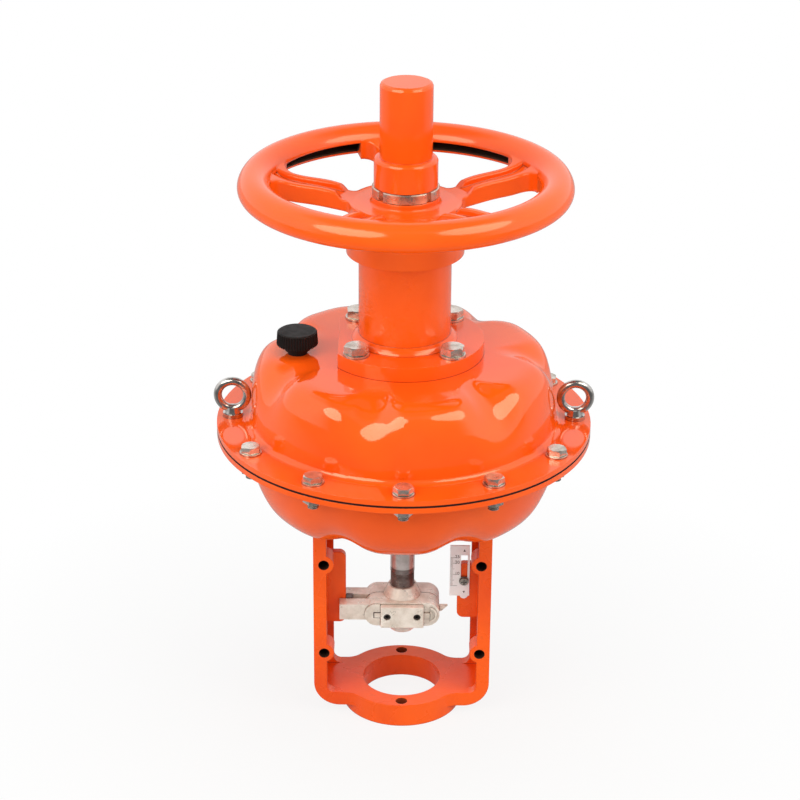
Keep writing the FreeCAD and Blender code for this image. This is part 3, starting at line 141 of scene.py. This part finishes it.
def spread(tree, source, low, high, from_low=0.3, from_high=0.7):
    """Value that goes from low to high as the source crosses a range, and stays level beyond it."""
    node = add(tree, "ShaderNodeMapRange")
    node.inputs["From Min"].default_value = from_low
    node.inputs["From Max"].default_value = from_high
    node.inputs["To Min"].default_value = low
    node.inputs["To Max"].default_value = high
    tree.links.new(source, node.inputs["Value"])
    return node.outputs["Result"]


def mix(tree, factor, first, second):
    """First colour where the factor is 0, second colour where it is 1."""
    node = add(tree, "ShaderNodeMix", data_type="RGBA")
    for key, value in (("Factor", factor), ("A", first), ("B", second)):
        socket = [s for s in node.inputs if s.name == key and s.enabled][0]
        if isinstance(value, tuple):
            socket.default_value = value + (1.0,)
        else:
            tree.links.new(value, socket)
    return [s for s in node.outputs if s.enabled][0]


def bump(tree, height, strength, distance, after=None):
    """Relief of a height, laid over another relief if there is one."""
    node = add(tree, "ShaderNodeBump")
    node.inputs["Strength"].default_value = strength
    node.inputs["Distance"].default_value = distance
    tree.links.new(height, node.inputs["Height"])
    if after is not None:
        tree.links.new(after, node.inputs["Normal"])
    return node.outputs["Normal"]


def maths(tree, operation, first, second=0.0):
    """Result of one operation on one or two values, each a socket or a number."""
    node = add(tree, "ShaderNodeMath", operation=operation)
    for index, value in enumerate((first, second)):
        if isinstance(value, (int, float)):
            node.inputs[index].default_value = value
        else:
            tree.links.new(value, node.inputs[index])
    return node.outputs[0]


def choose(tree, switch, off, on):
    """Off value where the switch is 0, on value where it is 1."""
    lit = maths(tree, "MULTIPLY", switch, on)
    unlit = maths(tree, "MULTIPLY", maths(tree, "SUBTRACT", 1.0, switch), off)
    return maths(tree, "ADD", lit, unlit)


def within(tree, distance, radius):
    """Mask that is 1 nearer than a radius in millimetres and fades out just beyond it."""
    return spread(tree, distance, 1.0, 0.0, radius * MM, (radius + MASK_FADE) * MM)


def place_axes(tree, kind="Object"):
    """X, Y and Z of the point being shaded, in the piece's own frame or as another kind says."""
    coord = add(tree, "ShaderNodeTexCoord")
    split = add(tree, "ShaderNodeSeparateXYZ")
    tree.links.new(coord.outputs[kind], split.inputs[0])
    return split.outputs


def length(tree, first, second):
    """Length of a two-part distance."""
    square = maths(tree, "ADD", maths(tree, "POWER", first, 2.0), maths(tree, "POWER", second, 2.0))
    return maths(tree, "SQRT", square)


def away(tree, value, centre, spacing=0.0):
    """Distance of a coordinate from the nearer of two centres, each the spacing from their middle."""
    middle = maths(tree, "ABSOLUTE", maths(tree, "SUBTRACT", value, centre * MM))
    return maths(tree, "ABSOLUTE", maths(tree, "SUBTRACT", middle, spacing * MM))


def yoke_hollows(tree):
    """Insides of the boss holes and of the ring's two bolt holes."""
    x, y, z = place_axes(tree)
    boss = length(tree, away(tree, x, 0.0, BOSS_X), away(tree, z, BOSS_MIDDLE_Z, BOSS_SPACING))
    ring = length(tree, x, away(tree, y, 0.0, RING_HOLE_Y))
    ahead = maths(tree, "LESS_THAN", y, BOSS_BACK_Y * MM)
    below = maths(tree, "LESS_THAN", z, RING_TOP_Z * MM)
    in_boss = maths(tree, "MULTIPLY", within(tree, boss, BOSS_HOLE_R), ahead)
    in_ring = maths(tree, "MULTIPLY", within(tree, ring, RING_HOLE_R), below)
    return maths(tree, "MAXIMUM", in_boss, maths(tree, "MULTIPLY", in_ring, RING_HOLE_SHADE))


def rim_hollow(tree):
    """Inside of the rolled rim."""
    x, y, z = place_axes(tree)
    radius = maths(tree, "SUBTRACT", length(tree, x, y), RIM_MIDDLE_R * MM)
    return within(tree, length(tree, radius, away(tree, z, RIM_MIDDLE_Z)), RIM_INSIDE_R)


def pipe_skin(tree):
    """Outside of the neck's pipe, less where a slow noise leaves it smooth."""
    axes = place_axes(tree)
    radius = length(tree, axes["X"], axes["Y"])
    patches = spread(tree, noise(tree, PATCH_SCALE, 2.0), SMOOTH_SHARE, 1.0, *PATCH_FROM)
    return maths(tree, "MULTIPLY", within(tree, radius, PIPE_R + PIPE_MARGIN), patches)


def uneven(tree, roughness, scale, detail, shares):
    """Roughness that wanders between two shares of its value."""
    low, high = shares
    return spread(tree, noise(tree, scale, detail), roughness * low, roughness * high)


def creases(tree, depth):
    """Painted shade that gathers where faces meet, up to the depth."""
    near = add(tree, "ShaderNodeAmbientOcclusion", samples=EDGE_SAMPLES)
    near.inputs["Distance"].default_value = CREASE_SHADE_REACH * MM
    return spread(tree, near.outputs["AO"], depth, 0.0, *CREASE_SHADE_FROM)


# Depth of the relief that a full bump stands for, in metres
GRAIN_DEPTH = 0.0003
FINE_LUMP_DEPTH = 0.0010
LUMP_DEPTH = 0.0012
PLASTIC_GRAIN_DEPTH = 0.0002

# Colours of the paint, of dirt, of the painted shade in creases and hollows, and the tint of what the
# paint's gloss mirrors
ORANGE = (0.94, 0.112, 0.006)
ORANGE_DEEP = (0.88, 0.092, 0.005)
CAST_ORANGE = (0.80, 0.072, 0.008)
GRIME = (0.30, 0.05, 0.02)
PAINT_CREASE_SHADE = (0.22, 0.018, 0.006)
HOLLOW_SHADE = (0.030, 0.012, 0.008)
PAINT_GLINT = (1.0, 0.88, 0.72, 1.0)
METAL_CREASE_SHADE = (0.10, 0.055, 0.04)
THREAD_SHADE = (0.17, 0.12, 0.11)

# Depth of the paint's painted crease shade, roughness of its hollows, and the plastics' grain and
# shine
PAINT_CREASE_SHADE_DEPTH = 0.75
HOLLOW_ROUGHNESS = 0.8
PLASTIC_GRAIN = 0.25
PLASTIC_SHINE = 0.3


def paint(name, roughness, dark=ORANGE_DEEP, peel=0.03, lumps=0.0, wear=0.0, shine=0.95,
          edge_r=PAINT_EDGE_R, hollow=None, rough_part=None):
    """Glossy orange paint: slow colour drift, orange peel, cast lumps, darker grime and painted shade
    in creases.

    Where the hollow function's mask is 1, such as inside bolt holes, the paint gives way to shade.
    With a rough_part function the lumps are finer and keep to where its mask is 1.
    """
    material, tree, shader = new_material(name)
    drift = ramp(tree, noise(tree, DRIFT_SCALE, 3.0), ((0.32, dark), (0.62, ORANGE)))
    dirt = spread(tree, noise(tree, GRIME_SCALE, 5.0, 0.65), 0.0, wear, *GRIME_FROM)
    colour = mix(tree, dirt, drift, GRIME)
    # Painted shade: the paint is darkened where faces meet and little light gets in
    colour = mix(tree, creases(tree, PAINT_CREASE_SHADE_DEPTH), colour, PAINT_CREASE_SHADE)
    rough = uneven(tree, roughness, SHEEN_SCALE, 4.0, (0.8, 1.3))
    if hollow:
        bare = hollow(tree)
        colour = mix(tree, bare, colour, HOLLOW_SHADE)
        rough = choose(tree, bare, rough, HOLLOW_ROUGHNESS)
    tree.links.new(colour, shader.inputs["Base Color"])
    tree.links.new(rough, shader.inputs["Roughness"])
    edge = add(tree, "ShaderNodeBevel", samples=EDGE_SAMPLES)
    edge.inputs["Radius"].default_value = edge_r * MM
    skin = bump(tree, noise(tree, PEEL_SCALE, 2.0), peel, GRAIN_DEPTH, edge.outputs["Normal"])
    if rough_part:
        height = maths(tree, "MULTIPLY", noise(tree, FINE_LUMP_SCALE, 3.0, 0.6), rough_part(tree))
        skin = bump(tree, height, lumps, FINE_LUMP_DEPTH, skin)
    elif lumps:
        skin = bump(tree, noise(tree, LUMP_SCALE, 3.0, 0.6), lumps, LUMP_DEPTH, skin)
    tree.links.new(skin, shader.inputs["Normal"])
    shader.inputs["Specular Tint"].default_value = PAINT_GLINT
    shader.inputs["Specular IOR Level"].default_value = shine
    return material


def metal(name, light, dark, roughness, grain=0.5, grain_scale=500.0, stretch=None, metallic=1.0,
          crease_shade=0.0):
    """Bare or plated metal with patchy colour, uneven roughness, a fine grain and painted shade in its
    creases.
    """
    material, tree, shader = new_material(name)
    patch = noise(tree, PLATING_SCALE, 4.0, 0.6)
    colour = ramp(tree, patch, ((0.35, dark), (0.62, light)))
    if crease_shade:
        # Painted shade: the metal is darkened where faces meet and little light gets in
        colour = mix(tree, creases(tree, crease_shade), colour, METAL_CREASE_SHADE)
    tree.links.new(colour, shader.inputs["Base Color"])
    rough = uneven(tree, roughness, METAL_SHEEN_SCALE, 3.0, (0.7, 1.5))
    tree.links.new(rough, shader.inputs["Roughness"])
    skin = bump(tree, noise(tree, grain_scale, 3.0, 0.6, stretch), grain, GRAIN_DEPTH)
    tree.links.new(skin, shader.inputs["Normal"])
    shader.inputs["Metallic"].default_value = metallic
    return material


def darken_thread(material):
    """Darken the stem up to where its thread ends, which is above the stem_end node."""
    tree = material.node_tree
    shader = tree.nodes["Principled BSDF"]
    top = THREAD_TOP_Z * MM
    low = spread(tree, place_axes(tree)["Z"], 1.0, 0.0, top, top + THREAD_FADE * MM)
    patch = spread(tree, noise(tree, THREAD_SCALE, 3.0, 0.6), THREAD_LIGHTEST, 1.0)
    bare = shader.inputs["Base Color"].links[0].from_socket
    colour = mix(tree, maths(tree, "MULTIPLY", low, patch), bare, THREAD_SHADE)
    tree.links.new(colour, shader.inputs["Base Color"])


def plastic(name, light, dark, roughness):
    """Matt moulded plastic or rubber with a fine grain."""
    material, tree, shader = new_material(name)
    colour = ramp(tree, noise(tree, PLASTIC_SCALE, 4.0), ((0.35, dark), (0.65, light)))
    tree.links.new(colour, shader.inputs["Base Color"])
    rough = uneven(tree, roughness, PLASTIC_SHEEN_SCALE, 3.0, (0.85, 1.15))
    tree.links.new(rough, shader.inputs["Roughness"])
    skin = bump(tree, noise(tree, PLASTIC_GRAIN_SCALE, 2.0), PLASTIC_GRAIN, PLASTIC_GRAIN_DEPTH)
    tree.links.new(skin, shader.inputs["Normal"])
    shader.inputs["Specular IOR Level"].default_value = PLASTIC_SHINE
    return material


# Materials

PAINT_WHEEL = paint("paint_wheel", 0.11, shine=0.8, edge_r=WHEEL_EDGE_R, hollow=rim_hollow)
PAINT_CAP = paint("paint_cap", 0.11, shine=0.8)
PAINT_CASE = paint("paint_case", 0.07)
PAINT_NECK = paint("paint_neck", 0.13, peel=0.05, lumps=1.0, wear=0.12, rough_part=pipe_skin)
PAINT_YOKE = paint("paint_yoke", 0.28, dark=CAST_ORANGE, peel=0.08, lumps=0.20, wear=0.45, shine=0.5,
                   edge_r=YOKE_EDGE_R, hollow=yoke_hollows)
ZINC = metal("zinc_steel", (0.86, 0.80, 0.73), (0.50, 0.44, 0.38), 0.20,
             grain=0.2, grain_scale=700.0, metallic=0.9, crease_shade=0.7)
BRIGHT = metal("bright_steel", (0.74, 0.71, 0.68), (0.42, 0.39, 0.37), 0.16,
               grain=0.15, grain_scale=900.0)
STEM = metal("stem_steel", (0.80, 0.76, 0.74), (0.56, 0.52, 0.50), 0.16,
             grain=0.2, grain_scale=300.0, stretch=(1.0, 1.0, 8.0), metallic=0.6)
darken_thread(STEM)
DARK = metal("dark_steel", (0.20, 0.17, 0.16), (0.075, 0.06, 0.055), 0.42)
THREAD = metal("stem_thread", (0.40, 0.33, 0.31), THREAD_SHADE, 0.35, metallic=0.7)
CAST = metal("cast_plated", (0.94, 0.89, 0.82), (0.70, 0.64, 0.56), 0.32,
             grain=0.1, grain_scale=420.0, metallic=0.25, crease_shade=0.9)
RING = metal("ring_steel", (0.84, 0.72, 0.62), (0.62, 0.49, 0.40), 0.26,
             grain=0.3, stretch=(1.0, 1.0, 14.0))
BRASS = metal("brass", (0.72, 0.53, 0.24), (0.50, 0.34, 0.13), 0.3, grain=0.2)
SCALE = metal("scale_aluminium", (0.93, 0.98, 1.00), (0.89, 0.94, 0.96), 0.42,
              grain=0.2, stretch=(1.0, 1.0, 0.15), metallic=0.0)
BLACK = plastic("black_plastic", (0.009, 0.006, 0.006), (0.004, 0.003, 0.003), 0.55)
RUBBER = plastic("black_rubber", (0.030, 0.005, 0.003), (0.016, 0.003, 0.002), 0.8)
INK = plastic("scale_ink", (0.05, 0.045, 0.045), (0.02, 0.02, 0.02), 0.6)

LOOKS = {
    "yoke": PAINT_YOKE,
    "lower_case": PAINT_CASE,
    "upper_case": PAINT_CASE,
    "diaphragm": RUBBER,
    "flange_bolts": ZINC,
    "flange_washers": ZINC,
    "flange_nuts": ZINC,
    "lifting_eyes": BRIGHT,
    "bridge_bolts": ZINC,
    "stem_guide": BRASS,
    "neck": PAINT_NECK,
    "neck_bolts": ZINC,
    "neck_washers": ZINC,
    "vent_plug": BLACK,
    "scale_plate": SCALE,
    "scale_screw": ZINC,
    "stem": STEM,
    "stem_end": THREAD,
    "stem_cup": DARK,
    "clamp_front": CAST,
    "clamp_rear": CAST,
    "clamp_block": CAST,
    "clamp_screws": DARK,
    "clamp_disc": CAST,
    "pointer": CAST,
    "connector": CAST,
    "spindle": BRIGHT,
    "drive_nut": BRASS,
    "handwheel": PAINT_WHEEL,
    "lock_ring": RING,
    "cap": PAINT_CAP,
}


def dress_nodes():
    """Give every CAD node its material."""
    for name, look in LOOKS.items():
        obj = NODES[name]
        mesh = obj.data
        mesh.materials.clear()
        mesh.materials.append(look)
        mesh.polygons.foreach_set("material_index", [0] * len(mesh.polygons))


# Scale markings

SCALE_FACE_Y = -7.0
SCALE_ZERO_Z = 102.8
SCALE_STEP = 0.98
SCALE_LEFT_X = 37.0
SCALE_END = 25
NUMBERED = (10, 20, 25)
TICK_LONG = 5.2
TICK_MIDDLE = 3.0
TICK_SHORT = 1.8
TICK_HALF = 0.09
END_TICK_HALF = 0.13
MARK_DEPTH = 0.08
ARROW_X = 47.6
ARROW_HALF = 0.9
# Tip and root heights of the arrow at the top and of the one at the bottom
ARROWS = ((134.6, 132.6), (96.2, 98.2))
NUMBER_X = 40.4
NUMBER_RISE = 0.9
NUMBER_SIZE = 3.6
NUMBER_DEPTH = 0.04
NUMBER_GAP = 0.05


def new_object(name, mesh, look):
    """Object of a mesh that wears one material."""
    mesh.materials.clear()
    mesh.materials.append(look)
    obj = bpy.data.objects.new(name, mesh)
    bpy.context.scene.collection.objects.link(obj)
    return obj


def flat_piece(name, outlines, front, back, look, body):
    """Plates that face the front between two depths, each outline with its corners as (x, z)."""
    mesh = bpy.data.meshes.new(name)
    solid = bmesh.new()
    for corners in outlines:
        rear = [solid.verts.new((x * MM, back * MM, z * MM)) for x, z in corners]
        face = [solid.verts.new((x * MM, front * MM, z * MM)) for x, z in corners]
        solid.faces.new(face)
        solid.faces.new(list(reversed(rear)))
        for i in range(len(corners)):
            j = (i + 1) % len(corners)
            solid.faces.new((rear[i], rear[j], face[j], face[i]))
    bmesh.ops.recalc_face_normals(solid, faces=solid.faces)
    solid.to_mesh(mesh)
    solid.free()
    obj = new_object(name, mesh, look)
    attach(obj, body)


def upright(sides, heights):
    """Corners of an upright rectangle."""
    left, right = sides
    low, high = heights
    return (left, low), (right, low), (right, high), (left, high)


def scale_marks():
    """Ticks from 0 to the scale's end, longest at 0 and beside the numbers, and two arrows."""
    marks = []
    for step in range(SCALE_END + 1):
        z = SCALE_ZERO_Z + step * SCALE_STEP
        reach = TICK_MIDDLE if step % 5 == 0 else TICK_SHORT
        if step == 0 or step in NUMBERED:
            reach = TICK_LONG
        half = END_TICK_HALF if step in (0, SCALE_END) else TICK_HALF
        marks.append(upright((SCALE_LEFT_X, SCALE_LEFT_X + reach), (z - half, z + half)))
    for tip, root in ARROWS:
        marks.append(((ARROW_X - ARROW_HALF, root), (ARROW_X + ARROW_HALF, root), (ARROW_X, tip)))
    front = SCALE_FACE_Y - MARK_DEPTH
    flat_piece("scale_ticks", marks, front, SCALE_FACE_Y, INK, "frame")


def scale_numbers():
    """Numbers beside the long ticks."""
    for value in NUMBERED:
        name = "scale_number_%d" % value
        curve = bpy.data.curves.new(name, "FONT")
        curve.body = str(value)
        curve.size = NUMBER_SIZE * MM
        curve.extrude = NUMBER_DEPTH * MM
        curve.align_x = "LEFT"
        curve.align_y = "CENTER"
        text = bpy.data.objects.new(name, curve)
        bpy.context.scene.collection.objects.link(text)
        bpy.context.view_layer.update()
        mesh = bpy.data.meshes.new_from_object(text)
        bpy.data.objects.remove(text)
        height = SCALE_ZERO_Z + value * SCALE_STEP + NUMBER_RISE
        place = Matrix.Translation(Vector((NUMBER_X, SCALE_FACE_Y - NUMBER_GAP, height)) * MM)
        mesh.transform(place @ Matrix.Rotation(math.radians(90), 4, "X"))
        obj = new_object(name, mesh, INK)
        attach(obj, "frame")


# Forms on the clamp that the solids don't have

# Raised disc on the clamp's left end, which leaves the front plate's tab free
DISC_X = -19.6
DISC_Z = 82.7
DISC_R = 9.3
DISC_T = 1.2
DISC_STEPS = 40
DISC_END_X = -16.9
DISC_TAB_X = -22.2
DISC_TAB_Z = (79.9, 85.1)
CLAMP_FACE_Y = -17.0

# Dark pad between the clamp's arms, half a millimetre off the guide lug's edge
PAD_X = (-43.2, -38.6)
PAD_Z = (79.0, 91.2)
PAD_BACK_Y = 0.4
PAD_T = 6.8


def guide_pad():
    """Pad that runs along the guide lug's edge."""
    front = PAD_BACK_Y - PAD_T
    flat_piece("guide_pad", [upright(PAD_X, PAD_Z)], front, PAD_BACK_Y, DARK, "stem_group")


def left_disc():
    """Flat disc with a notch for the tab, on the clamp's front face."""
    reach = math.acos((DISC_END_X - DISC_X) / DISC_R)
    corners = []
    for step in range(DISC_STEPS + 1):
        angle = reach + (2.0 * math.pi - 2.0 * reach) * step / DISC_STEPS
        corners.append((DISC_X + DISC_R * math.cos(angle), DISC_Z + DISC_R * math.sin(angle)))
    low, high = DISC_TAB_Z
    corners += [(DISC_END_X, low), (DISC_TAB_X, low), (DISC_TAB_X, high), (DISC_END_X, high)]
    front = CLAMP_FACE_Y - DISC_T
    flat_piece("clamp_left_disc", [corners], front, CLAMP_FACE_Y, CAST, "stem_group")


# Camera, surround, lamps and floor

# Camera read from the photograph: focal length in pixels of an 800 pixel frame,
# tilt and roll in radians, distance and offsets in metres from the case flange
FOCAL_PX = 2356.0
FRAME_PX = 800.0
SENSOR_MM = 36.0
TILT = math.radians(24.655)
ROLL = math.radians(0.466)
DISTANCE = 1.769
OFFSET_RIGHT = 0.002956
OFFSET_DOWN = 0.012363
FLANGE_Z = 0.2435
CLIP_NEAR = 0.05
CLIP_FAR = 50.0

# How bright gloss sees the camera's side of the studio and its ceiling, how bright it sees the
# back wall, and what the surround adds to matt faces
FRONT_GLOSS = 0.17
BACK_GLOSS = 0.95
WORLD_LIGHT = 0.48
# Ranges of a direction's Y and Z over which the back wall comes in and the ceiling takes over
WALL_FROM_Y = (-0.72, -0.30)
CEILING_FROM_Z = (0.76, 0.90)

WARM = (1.0, 0.93, 0.78)
WHITE = (1.0, 1.0, 1.0)
# Lamps as (name, place, width, height, power, colour, whether gloss mirrors it)
LAMPS = (
    ("key_left", (-0.89, -1.06, 1.30), 1.35, 1.0, 14.0, WARM, True),
    ("key_right", (1.0, -0.73, 1.42), 1.35, 1.0, 11.0, WARM, True),
    ("side_left", (-1.3, -0.5, 0.65), 0.9, 0.9, 4.0, WHITE, False),
    ("side_right", (1.3, -0.5, 0.65), 0.9, 0.9, 5.0, WHITE, False),
    ("front", (0.0, -1.7, 0.12), 0.8, 0.8, 2.6, WHITE, False),
    ("top", (0.0, 0.1, 1.8), 1.4, 1.4, 5.0, WHITE, False),
)
LAMP_TARGET = (0, 0, 0.26)

# Half the floor's side and its drop below the object, in metres, and its colour
FLOOR_HALF = 6.0
FLOOR_DROP = 0.0002
FLOOR_GREY = (0.62, 0.62, 0.62)
# Share of white that the camera sees on the floor by the object and away from it, and the two
# distances between which it grows
FLOOR_WHITE = (0.86, 1.0)
FLOOR_FADE = (0.10, 0.42)
# How bright gloss sees the back of the floor, and the range of Y over which it gets so bright
FLOOR_BACK_GLOSS = 0.5
FLOOR_GLOSS_FROM_Y = (-0.45, 0.1)


def place_camera():
    """Camera that repeats the photograph's view."""
    right = Vector((1, 0, 0))
    up = Vector((0, math.sin(TILT), math.cos(TILT)))
    forward = Vector((0, math.cos(TILT), -math.sin(TILT)))
    place = Vector((0, 0, FLANGE_Z)) - right * OFFSET_RIGHT + up * OFFSET_DOWN - forward * DISTANCE
    side = right * math.cos(ROLL) + up * math.sin(ROLL)
    head = up * math.cos(ROLL) - right * math.sin(ROLL)
    data = bpy.data.cameras.new("camera")
    data.sensor_width = SENSOR_MM
    data.lens = FOCAL_PX / FRAME_PX * SENSOR_MM
    data.clip_start = CLIP_NEAR
    data.clip_end = CLIP_FAR
    camera = bpy.data.objects.new("camera", data)
    turn = Matrix((side, head, -forward)).transposed().to_4x4()
    camera.matrix_world = Matrix.Translation(place) @ turn
    bpy.context.scene.collection.objects.link(camera)
    bpy.context.scene.camera = camera


def ray_kinds(tree):
    """Two switches: camera rays, and rays that a gloss or a clear body sends on."""
    path = add(tree, "ShaderNodeLightPath")
    passed = maths(tree, "MAXIMUM", path.outputs["Is Glossy Ray"], path.outputs["Is Transmission Ray"])
    return path.outputs["Is Camera Ray"], passed


def surround():
    """White for the camera, a bright back wall for gloss and an even light for matt faces."""
    world = bpy.data.worlds.new("studio")
    bpy.context.scene.world = world
    world.use_nodes = True
    tree = world.node_tree
    background = tree.nodes["Background"]
    background.inputs["Color"].default_value = WHITE + (1.0,)
    direction = place_axes(tree, "Generated")
    behind = spread(tree, direction["Y"], 0.0, 1.0, *WALL_FROM_Y)
    below_ceiling = spread(tree, direction["Z"], 1.0, 0.0, *CEILING_FROM_Z)
    wall = maths(tree, "MULTIPLY", behind, below_ceiling)
    backdrop = spread(tree, wall, FRONT_GLOSS, BACK_GLOSS, 0.0, 1.0)
    camera, passed = ray_kinds(tree)
    level = choose(tree, passed, WORLD_LIGHT, backdrop)
    tree.links.new(choose(tree, camera, level, 1.0), background.inputs["Strength"])


def lamps():
    """Soft oval lamps that face the object."""
    for name, place, width, height, power, colour, mirrored in LAMPS:
        data = bpy.data.lights.new(name, "AREA")
        data.shape = "ELLIPSE"
        data.size = width
        data.size_y = height
        data.energy = power
        data.color = colour
        lamp = bpy.data.objects.new(name, data)
        lamp.visible_glossy = mirrored
        lamp.location = place
        ahead = Vector(LAMP_TARGET) - Vector(place)
        lamp.rotation_euler = ahead.to_track_quat("-Z", "Y").to_euler()
        bpy.context.scene.collection.objects.link(lamp)


def pale_floor():
    """Matt grey under the lamps, which the camera sees fade to white."""
    material = bpy.data.materials.new("floor_pale")
    material.use_nodes = True
    tree = material.node_tree
    tree.nodes.clear()
    out = add(tree, "ShaderNodeOutputMaterial")
    diffuse = add(tree, "ShaderNodeBsdfDiffuse")
    diffuse.inputs["Color"].default_value = FLOOR_GREY + (1.0,)
    glow = add(tree, "ShaderNodeEmission")
    glow.inputs["Color"].default_value = WHITE + (1.0,)
    blend = add(tree, "ShaderNodeMixShader")
    axes = place_axes(tree)
    camera, passed = ray_kinds(tree)
    seen = spread(tree, length(tree, axes["X"], axes["Y"]), *FLOOR_WHITE, *FLOOR_FADE)
    mirrored = spread(tree, axes["Y"], FRONT_GLOSS, FLOOR_BACK_GLOSS, *FLOOR_GLOSS_FROM_Y)
    tree.links.new(choose(tree, passed, 1.0, mirrored), glow.inputs["Strength"])
    tree.links.new(choose(tree, camera, passed, seen), blend.inputs[0])
    tree.links.new(diffuse.outputs[0], blend.inputs[1])
    tree.links.new(glow.outputs[0], blend.inputs[2])
    tree.links.new(blend.outputs[0], out.inputs["Surface"])
    return material


def lay_floor():
    """Floor that keeps the object's shadow."""
    mesh = bpy.data.meshes.new("floor")
    half = FLOOR_HALF
    corners = [(-half, -half, 0), (half, -half, 0), (half, half, 0), (-half, half, 0)]
    mesh.from_pydata(corners, [], [(0, 1, 2, 3)])
    floor = new_object("floor", mesh, pale_floor())
    floor.location.z = -FLOOR_DROP


dress_nodes()
scale_marks()
scale_numbers()
left_disc()
guide_pad()
place_camera()
surround()
lamps()
lay_floor()
bpy.context.scene.view_settings.view_transform = "Standard"
